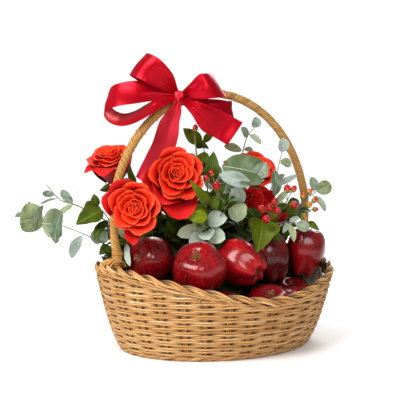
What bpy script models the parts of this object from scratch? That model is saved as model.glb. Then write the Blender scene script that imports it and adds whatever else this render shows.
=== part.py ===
"""A gift basket of apples and roses.

A woven willow basket with a braided border and a tall arched handle. A red satin bow is tied
round the top of the handle. Two layers of apples lie at the front, and a heap of greenery
behind them holds roses, eucalyptus, leafy sprigs and hypericum berries.

The origin is at the middle of the underside. X runs along the handle, -Y is the front that
the fruit faces, and Z is up. Lengths are in millimetres here and turned to metres where a
mesh is made.
"""
import math

import bmesh
import bpy
import numpy as np
from mathutils import Vector
from mathutils.bvhtree import BVHTree

MM = 0.001
GAP = 0.3                       # between pieces that touch

# Basket: the border is high at the two handle feet and low between them
RIM_HALF_LENGTH = 175.0
RIM_HALF_WIDTH = 147.0
RIM_LEFT = 118.0
RIM_RIGHT = 113.0
RIM_MIDDLE = 78.0
RIM_SADDLE = 1.5
RIM_TALL = 9.5
RIM_WIDE = 7.5
RIM_PLAITS = 17
BASE_HALF_LENGTH = 141.0
BASE_HALF_WIDTH = 111.0
WALL = 7.0
FLOOR = 8.0
FLARE = 0.6

# Handle: straight legs inside the border, then half an ellipse
HANDLE_RADIUS = 6.3
HANDLE_TOP = 364.0
HANDLE_SPRING = 180.0
HANDLE_HALF_SPAN = 164.0
HANDLE_SHIFT = -3.0
FOOT_HALF_SPAN = 158.0
FOOT_BOTTOM = 88.0
BINDING_RADIUS = 8.0
BINDING_TOP = 142.0

# Bow, of 38 mm ribbon
RIBBON_THICK = 1.2

# Heap of greenery that fills the basket behind the fruit
HEAP_HALF_LENGTH = 146.0
HEAP_HALF_WIDTH = 122.0
HEAP_BED = 24.0
HEAP_EDGE = 82.0
HEAP_TOP = 186.0
HEAP_MARGIN = 9.0               # clearance round each apple
HEAP_BANK = 1.8                 # steepest rise beside an apple
HEAP_LEAVES = 26
LEAF_ROOT = 0.5                 # how far a leaf's foot reaches into its stem
NARROW_LEAF = 12.0              # a leaf up to this width has a simpler outline

# The fruit and flowers are arranged for a viewer who stands this far round to the left.
# Their places are (across, depth, height) as that viewer sees them.
DISPLAY_TURN = math.radians(31.3)

# Apples: place of the middle, direction of the stem end, diameter, height
APPLES = {
    "apple_1": ((-88, -62, 128), (-0.58, -0.79, 0.2), 65, 63),
    "apple_2": ((-22, -88, 117), (-0.22, -0.78, 0.58), 73, 68),
    "apple_3": ((36, -50, 123), (-0.74, 0.5, 0.36), 64, 66),
    "apple_4": ((80, -6, 126), (0.1, -0.1, 1.0), 58, 70),
    "apple_5": ((134, 22, 131), (0.15, -0.12, 1.0), 56, 68),
    "apple_6": ((75, -62, 59), (0.05, -0.35, 0.94), 67, 62),
    "apple_7": ((112, 12, 62), (0.0, -0.3, 0.95), 58, 58),
    "apple_8": ((16, -86, 60), (0.3, 0.2, 0.93), 53, 54),
}

# Roses: middle of the open face, facing direction, radius, depth, and guard petals as
# (angle round the face in degrees, length, width, droop)
ROSES = {
    "rose_1": ((-153, -30, 272), (-0.15, -0.5, 0.85), 31, 44, [(196, 44, 30, 1.0), (340, 40, 34, 0.4)]),
    "rose_2": ((-110, -127, 206), (-0.05, -1.0, 0.06), 34, 40, [(266, 42, 34, 0.6), (150, 44, 44, 0.5)]),
    "rose_3": ((-52, -98, 247), (0.12, -1.0, 0.16), 36, 42, [(236, 46, 46, 0.5), (284, 44, 44, 0.5)]),
    "rose_4": ((60, -12, 258), (0.3, -0.72, 0.62), 30, 38, [(10, 42, 36, 0.5), (170, 40, 34, 0.5)]),
    "rose_5": ((57, -20, 205), (0.35, -0.9, 0.05), 22, 32, [(20, 32, 26, 0.5)]),
    "rose_6": ((-66, 112, 206), (-0.2, 0.85, 0.45), 34, 42, [(260, 40, 36, 0.5), (20, 44, 36, 0.5)]),
    "rose_7": ((66, 96, 204), (0.3, 0.8, 0.5), 33, 42, [(200, 46, 36, 0.5), (320, 44, 34, 0.5)]),
}

# Sprigs: points of the stem, then leaves as (place along the stem, tip, width)
EUCALYPTUS = {
    "eucalyptus_left_low": (
        [(-137, -30, 136), (-184, -58, 164), (-226, -72, 182), (-261, -78, 194)],
        [(0.16, (-164, -44, 173), 28), (0.36, (-201, -66, 131), 15), (0.62, (-238, -82, 177), 34),
         (0.64, (-214, -106, 174), 34), (0.86, (-271, -88, 185), 36), (0.88, (-239, -108, 198), 32),
         (1.0, (-277, -80, 191), 6), (0.98, (-256, -78, 211), 6)],
    ),
    "eucalyptus_left_high": (
        [(-143, -28, 173), (-191, -50, 202), (-217, -58, 212), (-236, -62, 234)],
        [(0.42, (-216, -56, 226), 13), (0.42, (-218, -62, 191), 9), (0.72, (-244, -66, 207), 4),
         (0.78, (-240, -70, 222), 9)],
    ),
    "eucalyptus_left_inner": (
        [(-118, -44, 158), (-125, -62, 152)],
        [(0.9, (-117, -97, 125), 10), (0.3, (-137, -60, 172), 10)],
    ),
    "eucalyptus_centre_low": (
        [(-16, -50, 156), (-14, -44, 180), (-17, -30, 202)],
        [(0.55, (14, -62, 187), 20), (0.5, (-27, -66, 174), 17), (0.2, (10, -58, 156), 21),
         (0.08, (-34, -62, 149), 15), (0.3, (-52, -52, 163), 17)],
    ),
    "eucalyptus_centre_high": (
        [(30, -20, 217), (42, -34, 236), (54, -44, 254)],
        [(0.9, (6, -58, 261), 34), (1.0, (82, -50, 250), 32), (0.55, (7, -60, 238), 26)],
    ),
    "eucalyptus_centre_mid": (
        [(33, -22, 195), (27, -38, 210), (20, -44, 228)],
        [(0.45, (30, -62, 231), 25), (0.4, (30, -52, 181), 28), (0.9, (0, -54, 231), 15)],
    ),
    "eucalyptus_top": (
        [(33, 20, 238), (39, 26, 273), (46, 30, 300), (57, 32, 315)],
        [(0.98, (61, 28, 331), 16), (0.78, (68, 24, 292), 11), (0.66, (39, 22, 316), 13),
         (0.42, (12, 16, 288), 14), (0.45, (55, 20, 281), 9)],
    ),
    "eucalyptus_right_high": (
        [(75, 24, 208), (89, 34, 240), (99, 40, 279)],
        [(1.0, (101, 38, 300), 20), (0.85, (112, 34, 258), 16), (0.45, (103, 30, 246), 8),
         (0.3, (123, 34, 245), 9)],
    ),
    "eucalyptus_right_mid": (
        [(88, -24, 196), (84, -34, 215)],
        [(1.0, (82, -40, 254), 16), (0.6, (99, -40, 224), 10)],
    ),
    "eucalyptus_right_far": (
        [(121, 54, 190), (138, 66, 207), (155, 74, 218)],
        [(0.95, (148, 74, 241), 17), (1.0, (180, 78, 230), 22), (0.8, (171, 76, 188), 12)],
    ),
    "eucalyptus_right_low": (
        [(82, 4, 171), (102, -8, 178), (116, -10, 175)],
        [(0.55, (96, -24, 163), 8), (0.6, (112, -24, 150), 11), (1.0, (135, -14, 168), 18),
         (0.6, (120, -12, 185), 8)],
    ),
    "eucalyptus_back_middle": (
        [(0, 80, 178), (2, 100, 205), (4, 112, 230)],
        [(0.45, (-22, 122, 204), 22), (0.5, (24, 124, 210), 22), (0.8, (-18, 118, 242), 20),
         (0.85, (26, 112, 244), 18), (1.0, (4, 120, 258), 18)],
    ),
    "eucalyptus_back_left": (
        [(-104, 40, 158), (-126, 62, 180), (-136, 80, 194)],
        [(0.5, (-116, 90, 196), 20), (0.55, (-148, 58, 176), 18), (1.0, (-146, 96, 206), 20)],
    ),
}
LEAFY = {
    "leaves_left": (
        [(-140, -30, 159), (-154, -48, 189), (-165, -54, 203)],
        [(0.6, (-184, -60, 164), 30), (0.5, (-167, -62, 152), 16), (1.0, (-171, -56, 220), 10)],
    ),
    "leaves_foot": (
        [(-130, -36, 148), (-147, -52, 147)],
        [(1.0, (-162, -66, 137), 17)],
    ),
    "leaves_spear": (
        [(-109, 10, 200), (-115, 2, 232)],
        [(1.0, (-129, -4, 266), 10), (0.8, (-130, -2, 254), 9)],
    ),
    "leaves_top": (
        [(-11, -8, 202), (-13, -10, 244), (-17, -8, 282), (-19, -8, 292)],
        [(0.92, (-47, -16, 313), 18), (0.7, (-21, -26, 296), 20), (0.95, (-4, -2, 308), 10)],
    ),
    "leaves_centre": (
        [(-11, -34, 173), (-8, -52, 203), (-7, -56, 231)],
        [(1.0, (-3, -54, 280), 21), (0.5, (-31, -118, 238), 15), (0.85, (2, -66, 199), 17),
         (0.5, (20, -56, 213), 22), (0.35, (-37, -70, 193), 17)],
    ),
    "leaf_big": (
        [(58, -42, 178), (67, -55, 185)],
        [(0.85, (64, -73, 141), 40), (0.5, (94, -46, 150), 12)],
    ),
    "leaf_right": (
        [(110, 46, 172), (130, 28, 174)],
        [(1.0, (152, 4, 165), 13)],
    ),
    "leaves_back_right": (
        [(98, 84, 168), (112, 108, 188)],
        [(1.0, (134, 134, 202), 22), (0.6, (100, 136, 208), 20), (0.7, (138, 100, 178), 18)],
    ),
    "leaves_back_low": (
        [(0, 104, 166), (4, 122, 178)],
        [(1.0, (6, 146, 186), 24), (0.5, (34, 138, 172), 20), (0.6, (-26, 138, 176), 20)],
    ),
}

# Berry sprigs: points of the stem, then berries as (place, diameter)
BERRIES = {
    "berries_top": (
        [(-27, -32, 272), (-30, -34, 300)],
        [((-29, -34, 313), 8)],
    ),
    "berries_centre": (
        [(15, -76, 207), (1, -75, 222)],
        [((-13, -76, 243), 9), ((-6, -72, 250), 8), ((1, -84, 233), 12)],
    ),
    "berries_low": (
        [(74, -34, 180), (74, -44, 192)],
        [((64, -52, 200), 10), ((74, -60, 201), 10), ((82, -52, 209), 10), ((86, -56, 197), 10),
         ((69, -80, 187), 12)],
    ),
    "berries_high": (
        [(97, 4, 191), (105, 8, 209)],
        [((105, 10, 225), 11), ((115, 14, 225), 9), ((114, 4, 202), 11)],
    ),
    "berries_far": (
        [(111, 30, 187), (131, 50, 196)],
        [((132, 52, 213), 9), ((143, 56, 219), 9), ((141, 50, 199), 10), ((151, 58, 206), 9),
         ((152, 56, 192), 8), ((133, 46, 181), 11)],
    ),
}

# Bow: a loop or tail is rows of (middle of the ribbon, half of its width as a vector)
KNOT = (-51, -47, 356)
KNOT_BAND = -59.0               # where the ribbon goes round the handle, along X
LOOPS = {
    "bow_loop_left_high": [
        ((-58, -48, 365), (4.5, 0.0, 3.4)), ((-71, -55, 378), (11.4, 0.0, 9.4)),
        ((-88, -62, 392), (11.8, 0.0, 14.1)), ((-101, -60, 398), (12.0, 0.0, 14.7)),
        ((-108, -50, 401), (11.7, 0.0, 15.0)), ((-100, -37, 395), (12.0, 0.0, 14.8)),
        ((-83, -35, 382), (9.9, 0.0, 12.0)), ((-62, -41, 366), (4.2, 0.0, 4.2)),
    ],
    "bow_loop_left_low": [
        ((-61, -48, 358), (0.0, -2.0, -4.6)), ((-85, -49, 361), (0.0, -5.0, -11.2)),
        ((-110, -48, 361), (0.0, -8.0, -16.1)), ((-134, -47, 358), (0.0, -9.0, -16.7)),
        ((-148, -47, 354), (-1.4, -9.0, -16.7)), ((-154, -47, 343), (-1.4, -12.0, -14.0)),
        ((-147, -49, 330), (0.0, -15.0, -11.2)), ((-132, -53, 324), (0.0, -16.0, -9.8)),
        ((-115, -60, 327), (0.0, -16.0, -9.7)), ((-96, -66, 336), (0.0, -14.0, -9.6)),
        ((-81, -67, 344), (0.0, -10.0, -8.2)), ((-62, -56, 351), (0.0, -4.0, -3.8)),
    ],
    "bow_loop_right_high": [
        ((-42, -50, 360), (1.6, 0.0, -5.0)), ((-33, -56, 363), (2.8, 0.0, -10.5)),
        ((-18, -61, 368), (5.5, 0.0, -16.5)), ((-4, -58, 370), (9.6, 0.0, -16.4)),
        ((4, -48, 372), (11.2, 0.0, -15.3)), ((-5, -36, 372), (9.6, 0.0, -16.4)),
        ((-22, -34, 369), (5.6, 0.0, -14.1)), ((-41, -41, 363), (2.1, 0.0, -5.3)),
    ],
    "bow_loop_right_low": [
        ((-42, -46, 350), (1.0, 0.0, -3.6)), ((-18, -45, 342), (1.4, -2.0, -11.6)),
        ((6, -42, 337), (2.8, -4.0, -15.4)), ((20, -36, 335), (2.8, -5.0, -15.5)),
        ((24, -28, 336), (2.8, -5.0, -15.6)), ((12, -22, 338), (2.9, -4.0, -14.3)),
        ((-14, -26, 344), (1.4, -2.0, -10.4)), ((-38, -36, 351), (0.0, 0.0, -4.0)),
    ],
}
TAILS = {
    "bow_tail_right": [
        ((-46, -56, 351), (2.2, 0.0, 3.3)), ((-27, -60, 337), (5.9, 0.0, 8.6)),
        ((-9, -58, 324), (10.5, 0.0, 15.0)), ((10, -51, 314), (10.9, 0.0, 15.3)),
        ((27, -45, 304), (10.5, 0.0, 15.8)),
    ],
    "bow_tail_down": [
        ((-53, -55, 347), (4.6, 0.0, -1.0)), ((-57, -52, 335), (9.0, 0.0, -2.0)),
        ((-65, -44, 321), (15.0, 0.0, -2.1)), ((-69, -39, 305), (18.2, 0.0, -1.4)),
        ((-74, -36, 287), (17.6, 0.0, -5.1)), ((-83, -31, 268), (17.0, 0.0, -7.1)),
        ((-94, -28, 248), (16.4, 0.0, -8.6)),
    ],
}

WILLOW = ("willow", (0.58, 0.33, 0.13), 0.55)
CANE = ("cane", (0.60, 0.34, 0.12), 0.45)
PAPER = ("paper", (0.75, 0.66, 0.52), 0.6)
SATIN = ("satin", (0.62, 0.01, 0.04), 0.3)
APPLE_SKIN = ("apple_skin", (0.32, 0.008, 0.012), 0.25)
PETAL = ("petal", (0.90, 0.07, 0.01), 0.5)
GREENERY = ("greenery", (0.04, 0.09, 0.02), 0.6)
SILVER_LEAF = ("silver_leaf", (0.25, 0.36, 0.28), 0.6)
GREEN_LEAF = ("green_leaf", (0.10, 0.22, 0.03), 0.45)
BERRY_SKIN = ("berry_skin", (0.55, 0.02, 0.02), 0.25)


def shown(place):
    """Point or direction as the viewer of the display sees it, in the basket's own axes."""
    across, depth, height = place
    c, s = math.cos(DISPLAY_TURN), math.sin(DISPLAY_TURN)
    return Vector((c * across + s * depth, -s * across + c * depth, height))


def material(finish):
    name, colour, roughness = finish
    made = bpy.data.materials.get(name)
    if made is None:
        made = bpy.data.materials.new(name)
        made.use_nodes = True
        shader = made.node_tree.nodes["Principled BSDF"]
        shader.inputs["Base Color"].default_value = (*colour, 1.0)
        shader.inputs["Roughness"].default_value = roughness
        shader.inputs["Metallic"].default_value = 0.0
        made.diffuse_color = (*colour, 1.0)
    return made


def new_object(name, bm, finish):
    """Put a bmesh in the scene under its name, in metres, shaded smooth with sharp creases."""
    bmesh.ops.recalc_face_normals(bm, faces=bm.faces)
    bmesh.ops.scale(bm, vec=(MM, MM, MM), verts=bm.verts)
    mesh = bpy.data.meshes.new(name)
    bm.to_mesh(mesh)
    bm.free()
    mesh.materials.append(material(finish))
    mesh.shade_smooth()
    mesh.set_sharp_from_angle(angle=math.radians(40))
    obj = bpy.data.objects.new(name, mesh)
    bpy.context.scene.collection.objects.link(obj)
    return obj


def skin(rings, closed=False):
    """Closed surface over rings of points. A ring of one point is a pole, and ends are capped."""
    bm = bmesh.new()
    loops = [[bm.verts.new(point) for point in ring] for ring in rings]
    following = loops[1:] + loops[:1] if closed else loops[1:]
    for near, far in zip(loops, following):
        count = max(len(near), len(far))
        for i in range(count):
            j = (i + 1) % count
            corners = [near[i % len(near)], near[j % len(near)], far[j % len(far)], far[i % len(far)]]
            bm.faces.new(list(dict.fromkeys(corners)))
    if not closed:
        for end in (loops[0], loops[-1]):
            if len(end) > 2:
                bm.faces.new(end)
    return bm


def fuse(name, parts):
    """Join overlapping closed pieces into one body by a single Boolean union."""
    base, others = parts[0], parts[1:]
    base.name = name
    if others:
        tools = bpy.data.collections.new(name + "_pieces")
        for piece in others:
            tools.objects.link(piece)
        union = base.modifiers.new("union", "BOOLEAN")
        union.operation = "UNION"
        union.solver = "EXACT"
        union.operand_type = "COLLECTION"
        union.collection = tools
        bpy.context.view_layer.objects.active = base
        bpy.ops.object.modifier_apply(modifier="union")
        for piece in others:
            bpy.data.objects.remove(piece)
        bpy.data.collections.remove(tools)
    return base


def smooth_route(points, steps):
    """Points of a Catmull-Rom curve through the given points."""
    ends = [points[0] * 2 - points[1]] + list(points) + [points[-1] * 2 - points[-2]]
    route = []
    for a, b, c, d in zip(ends, ends[1:], ends[2:], ends[3:]):
        for i in range(steps):
            t = i / steps
            route.append(0.5 * ((2 * b) + (c - a) * t + (2 * a - 5 * b + 4 * c - d) * t * t
                                + (3 * b - a - 3 * c + d) * t ** 3))
    route.append(points[-1].copy())
    return route


def tube(route, radii, sides):
    """Round bar along a route, with the radius of each of its points."""
    rings = []
    last = (route[1] - route[0]).normalized()
    lean = last.orthogonal().normalized()
    for i, point in enumerate(route):
        ahead = (route[min(i + 1, len(route) - 1)] - route[max(i - 1, 0)]).normalized()
        lean = last.rotation_difference(ahead) @ lean
        across = ahead.cross(lean)
        last = ahead
        turns = [2 * math.pi * (k + 0.15) / sides for k in range(sides)]
        rings.append([point + radii[i] * (math.cos(a) * across + math.sin(a) * lean) for a in turns])
    return skin(rings)


def facing_axes(direction):
    """Three axes at right angles, the last along the given direction."""
    ahead = Vector(direction).normalized()
    side = Vector((0.0, 0.0, 1.0)).cross(ahead)
    if side.length < 0.1:
        side = Vector((1.0, 0.0, 0.0))
    side.normalize()
    return side, ahead.cross(side), ahead


LEAF_STATIONS = {
    "round": ((0.2, 0.78), (0.52, 1.0), (0.84, 0.72)),
    "narrow": ((0.3, 0.95), (0.7, 0.9)),
    "pointed": ((0.18, 0.62), (0.45, 1.0), (0.76, 0.6)),
    "petal": ((0.35, 0.8), (0.68, 1.0), (0.92, 0.66)),
}


def leaf(base, tip, width, face, form, fold=0.2, bend=0.1, thick=1.2):
    """Thin leaf: full along its midrib, drawn out to nothing at its edge, folded and bent."""
    along = (tip - base).normalized()
    base = base - along * LEAF_ROOT
    axis = tip - base
    out = (face - along * face.dot(along)).normalized()
    side = out.cross(along)
    rows = []
    for place, share in LEAF_STATIONS[form]:
        middle = base + axis * place + out * (bend * axis.length * math.sin(math.pi * place))
        half = 0.5 * width * share
        lift = out * (fold * half)
        rows.append((middle - side * half + lift, middle, middle + side * half + lift))
    bm = bmesh.new()
    foot = bm.verts.new(base)
    top = bm.verts.new(tip)
    edges = [(bm.verts.new(row[0]), bm.verts.new(row[2])) for row in rows]
    for sign in (1, -1):
        ribs = [bm.verts.new(row[1] + out * (sign * thick / 2)) for row in rows]
        for k, (left, right) in enumerate(edges):
            if k == 0:
                bm.faces.new((foot, ribs[0], left))
                bm.faces.new((foot, right, ribs[0]))
            else:
                last_left, last_right = edges[k - 1]
                bm.faces.new((last_left, ribs[k - 1], ribs[k]))
                bm.faces.new((last_left, ribs[k], left))
                bm.faces.new((last_right, ribs[k], ribs[k - 1]))
                bm.faces.new((last_right, right, ribs[k]))
        bm.faces.new((edges[-1][0], ribs[-1], top))
        bm.faces.new((edges[-1][1], top, ribs[-1]))
    return bm


def rim_centre(angle):
    """Middle of the braided border at an angle round the basket."""
    c, s = math.cos(angle), math.sin(angle)
    end = RIM_LEFT if c < 0 else RIM_RIGHT
    height = RIM_MIDDLE + (end - RIM_MIDDLE) * abs(c) ** RIM_SADDLE
    return Vector((RIM_HALF_LENGTH * c, RIM_HALF_WIDTH * s, height))


def wall_point(angle, share, inset):
    """Point of the wall at a share of its height, moved inwards from its outer face."""
    c, s = math.cos(angle), math.sin(angle)
    top = rim_centre(angle)
    flare = share ** FLARE
    x = c * (BASE_HALF_LENGTH + (RIM_HALF_LENGTH + WALL / 2 - BASE_HALF_LENGTH) * flare - inset)
    y = s * (BASE_HALF_WIDTH + (RIM_HALF_WIDTH + WALL / 2 - BASE_HALF_WIDTH) * flare - inset)
    return Vector((x, y, share * (top.z - RIM_TALL * 1.1 - GAP)))


def angles(count):
    return [2 * math.pi * i / count for i in range(count)]


def basket_body():
    """Woven wall and floor, one hollow shell."""
    around = angles(36)
    outer = [[wall_point(a, share, 0.0) for a in around] for share in (0.0, 0.15, 0.4, 0.7, 1.0)]
    inner = [[wall_point(a, share, WALL) for a in around] for share in (1.0, 0.6, 0.28)]
    well = [Vector((p.x * 0.97, p.y * 0.97, FLOOR)) for p in (wall_point(a, 0.1, WALL) for a in around)]
    return new_object("basket_body", skin(outer + inner + [well]), WILLOW)


def basket_rim():
    """Braided border: a thick rope whose strands show as slanting ridges."""
    sections = 3 * RIM_PLAITS
    sides = 8
    rings = []
    for a in angles(sections):
        centre = rim_centre(a)
        out = Vector((math.cos(a) / RIM_HALF_LENGTH, math.sin(a) / RIM_HALF_WIDTH, 0.0)).normalized()
        ring = []
        for b in angles(sides):
            ridge = 1.0 + 0.09 * math.cos(2 * b + RIM_PLAITS * a)
            ring.append(centre + out * (RIM_WIDE * ridge * math.cos(b))
                        + Vector((0.0, 0.0, RIM_TALL * ridge * math.sin(b))))
        rings.append(ring)
    return new_object("basket_rim", skin(rings, closed=True), WILLOW)


def handle_route():
    """Middle line of the handle, from one foot over the arch to the other."""
    leg = [Vector((-FOOT_HALF_SPAN, 0.0, FOOT_BOTTOM)), Vector((-FOOT_HALF_SPAN, 0.0, BINDING_TOP)),
           Vector((-FOOT_HALF_SPAN - 1.5, 0.0, BINDING_TOP + 4))]
    arch = []
    for i in range(21):
        t = math.pi * i / 20
        rise = math.sin(t)
        arch.append(Vector((HANDLE_SHIFT * rise - HANDLE_HALF_SPAN * math.cos(t), 0.0,
                            HANDLE_SPRING + (HANDLE_TOP - HANDLE_SPRING) * rise)))
    return leg + arch + [Vector((-p.x, p.y, p.z)) for p in reversed(leg)]


def handle():
    """Wrapped cane handle, thicker where each foot is bound to the wall."""
    route = handle_route()
    radii = [HANDLE_RADIUS] * len(route)
    for i in (0, 1, -1, -2):
        radii[i] = BINDING_RADIUS
    return new_object("handle", tube(route, radii, 8), CANE)


def liner():
    """Paper liner against the inside of the wall, at the end where it shows."""
    rings = []
    for i in range(9):
        a = math.radians(-64 + 7 * i)
        ring = []
        for share, inset in ((0.45, 1.2), (0.97, 1.2), (0.97, 2.0), (0.45, 2.0)):
            ring.append(wall_point(a, share, WALL + inset))
        rings.append(ring)
    return new_object("liner", skin(rings), PAPER)


APPLE_PROFILE = ((0.10, 0.72), (0.30, 0.93), (0.58, 0.98), (0.86, 0.72), (1.0, 0.2), (0.92, -0.3),
                 (0.70, -0.76), (0.44, -1.0), (0.18, -0.9))


def apple(name, place, stem_end, diameter, height, sides=15):
    """Tall, shouldered apple that tapers to five knuckles round its blossom end."""
    side, up, ahead = facing_axes(shown(stem_end))
    centre = shown(place)
    radius, half = diameter / 2, height / 2

    def at(r, z):
        return centre + ahead * (z * half), r * radius

    rings = [[at(0.0, 0.62)[0]]]
    for r, z in APPLE_PROFILE:
        lobes = 0.035 + 0.05 * max(0.0, -z)
        middle, reach = at(r, z)
        ring = []
        for a in angles(sides):
            wave = math.cos(5 * a)
            swell = reach * (1 + lobes * wave)
            drop = half * 0.05 * wave * max(0.0, -z)
            ring.append(middle + side * (swell * math.cos(a)) + up * (swell * math.sin(a)) - ahead * drop)
        rings.append(ring)
    rings.append([at(0.0, -0.78)[0]])
    return new_object(name, skin(rings), APPLE_SKIN)


def line_distance(point, start, way, length):
    """Distance of a point from a straight piece of stem."""
    reach = min(length, max(0.0, (point - start).dot(way)))
    return (point - start - way * reach).length


def stem_to_heap(start, heap, radius):
    """Where a stem from this point meets the heap, passing between the fruit and the legs."""
    solid = [(shown(place), max(diameter, height) / 2) for place, end, diameter, height in APPLES.values()]
    for side in (-1, 1):
        solid += [(Vector((side * FOOT_HALF_SPAN, 0.0, z)), BINDING_RADIUS) for z in range(90, 230, 12)]
    best = None
    for depth in (30, 60, 100, 160, 240, 0):
        for across in (-0.3, 0.0, -0.7, 0.4):
            place = Vector(start)
            target = shown((0.0, depth, -130.0)) + shown((across * 100.0, 0.0, 0.0)) * (1 if place.x > 0 else -1)
            way = target.normalized()
            hit, normal, index, distance = heap.ray_cast(start, way)
            if hit is None:
                continue
            square = abs(normal.dot(way))
            length = (hit - start).length
            room = min(line_distance(p, start, way, length) - reach for p, reach in solid)
            score = min(room, 6.0) - 0.02 * length + 4.0 * min(square, 0.5)
            if best is None or score > best[0]:
                best = (score, hit - way * ((GAP + 1.3 * radius) / max(square, 0.25)))
    return best[1]


# Petal layers from the heart out, as (share of the radius, rise, petals in the layer, turn):
# each pair is the edge of a layer and the fold at the foot of the next one
ROSE_LAYERS = ((0.16, 0.02, 3, 0.0), (0.24, -0.16, 3, 0.5), (0.42, -0.01, 3, 2.0), (0.50, -0.2, 5, 1.0),
               (0.70, -0.05, 5, 0.0), (0.78, -0.24, 5, 1.0), (1.0, -0.14, 5, 2.6))


def rose(name, place, facing, radius, depth, guards, heap):
    """Open rose: layers of petals over a cup, guard petals that fall away, and its stem."""
    side, up, ahead = facing_axes(shown(facing))
    face = shown(place)
    around = angles(14)
    rings = [[face - ahead * (0.16 * radius)]]
    for share, rise, lobes, turn in ROSE_LAYERS:
        ring = []
        for a in around:
            reach = radius * share * (1.0 + 0.07 * math.cos(lobes * a + turn))
            lift = radius * (rise + 0.04 * share * math.cos(lobes * a + turn))
            ring.append(face + (side * math.cos(a) + up * math.sin(a)) * reach + ahead * lift)
        rings.append(ring)
    for share, down in ((0.84, 0.5), (0.3, 1.0)):
        rings.append([face + (side * math.cos(a) + up * math.sin(a)) * (radius * share)
                      - ahead * (depth * down) for a in around])
    calyx = face - ahead * depth
    head = new_object(name, skin(rings), PETAL)
    pieces = [head]
    for degrees, length, width, droop in guards:
        a = math.radians(degrees)
        out = side * math.cos(a) + up * math.sin(a)
        base = face - ahead * (0.7 * depth) + out * (0.35 * radius)
        tip = base + (out + ahead * (0.62 - droop)).normalized() * length
        petal = leaf(base, tip, width, ahead, "petal", fold=-0.15, bend=0.12, thick=2.4)
        pieces.append(new_object("petal", petal, PETAL))
    root = stem_to_heap(calyx, heap, 2.4)
    stem = tube([calyx + ahead * 3, root], [2.6, 2.2], 6)
    pieces.append(new_object("stem", stem, GREEN_LEAF))
    return fuse(name, pieces)


def along(route, share):
    """Point at a share of a route's points, a little short of its end."""
    length = sum((b - a).length for a, b in zip(route, route[1:]))
    place = min(share, 1.0 - 1.6 / length) * (len(route) - 1)
    i = min(int(place), len(route) - 2)
    return route[i].lerp(route[i + 1], place - i)


def sprig(name, stem_points, leaves, form, finish, heap):
    """Leafy stem that rises from the heap, its leaves fused on."""
    points = [shown(p) for p in stem_points]
    root = stem_to_heap(points[0], heap, 1.6)
    steps = 2 if len(points) > 2 else 1
    bare = smooth_route(points, steps)
    route = [root] + bare
    radii = [1.7 - 0.7 * i / (len(route) - 1) for i in range(len(route))]
    pieces = [new_object(name, tube(route, radii, 4), finish)]
    for share, tip, width in leaves:
        base = along(bare, share)
        end = shown(tip)
        outward = Vector((end.x, end.y, 0.0)).normalized() * 0.5
        look = shown((0.0, -1.0, 0.3)) if base.y < 60 else Vector((0.0, 1.0, 0.3))
        shape = form if width > NARROW_LEAF else "narrow"
        blade = leaf(base, end, width, look + outward, shape, fold=0.22, bend=0.08)
        pieces.append(new_object("leaf", blade, finish))
    return fuse(name, pieces)


def berry(centre, diameter, up):
    """Egg-shaped berry."""
    side, other, ahead = facing_axes(up)
    radius = diameter / 2
    rings = [[centre - ahead * (radius * 1.15)]]
    for z, r in ((-0.66, 0.82), (0.05, 1.0), (0.78, 0.7)):
        rings.append([centre + ahead * (z * radius) + (side * math.cos(a) + other * math.sin(a)) * (r * radius)
                      for a in angles(5)])
    rings.append([centre + ahead * (radius * 1.25)])
    return skin(rings)


def berry_sprig(name, stem_points, berries, heap):
    """Thin branching stem with a berry on each twig."""
    points = [shown(p) for p in stem_points]
    root = stem_to_heap(points[0], heap, 1.6)
    pieces = [new_object(name, tube([root] + points, [1.6, 1.5, 1.3], 4), BERRY_SKIN)]
    for i, (place, diameter) in enumerate(berries):
        centre = shown(place)
        fork = points[1].lerp(points[0], 0.08 + 0.16 * i)
        way = (centre - fork).normalized()
        pieces.append(new_object("twig", tube([fork - way * 0.5, centre], [1.0, 1.0], 3), BERRY_SKIN))
        pieces.append(new_object("berry", berry(centre, diameter, way), BERRY_SKIN))
    return fuse(name, pieces)


def ribbon(name, rows):
    """Thin ribbon through its rows, both faces split into triangles along the same diagonals."""
    route = smooth_route([shown(place) for place, half in rows], 2)
    halves = smooth_route([shown(half) for place, half in rows], 2)
    bm = bmesh.new()
    sections = []
    for i, point in enumerate(route):
        ahead = (route[min(i + 1, len(route) - 1)] - route[max(i - 1, 0)]).normalized()
        half = halves[i]
        out = ahead.cross(half).normalized() * (RIBBON_THICK / 2)
        corners = (point - half - out, point + half - out, point + half + out, point - half + out)
        sections.append([bm.verts.new(corner) for corner in corners])
    for near, far in zip(sections, sections[1:]):
        for i, j, slant in ((0, 1, True), (1, 2, True), (2, 3, False), (3, 0, True)):
            if slant:
                bm.faces.new((near[i], near[j], far[j]))
                bm.faces.new((near[i], far[j], far[i]))
            else:
                bm.faces.new((near[i], near[j], far[i]))
                bm.faces.new((near[j], far[j], far[i]))
    for end in (sections[0], sections[-1]):
        bm.faces.new(end)
    return new_object(name, bm, SATIN)


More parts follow.
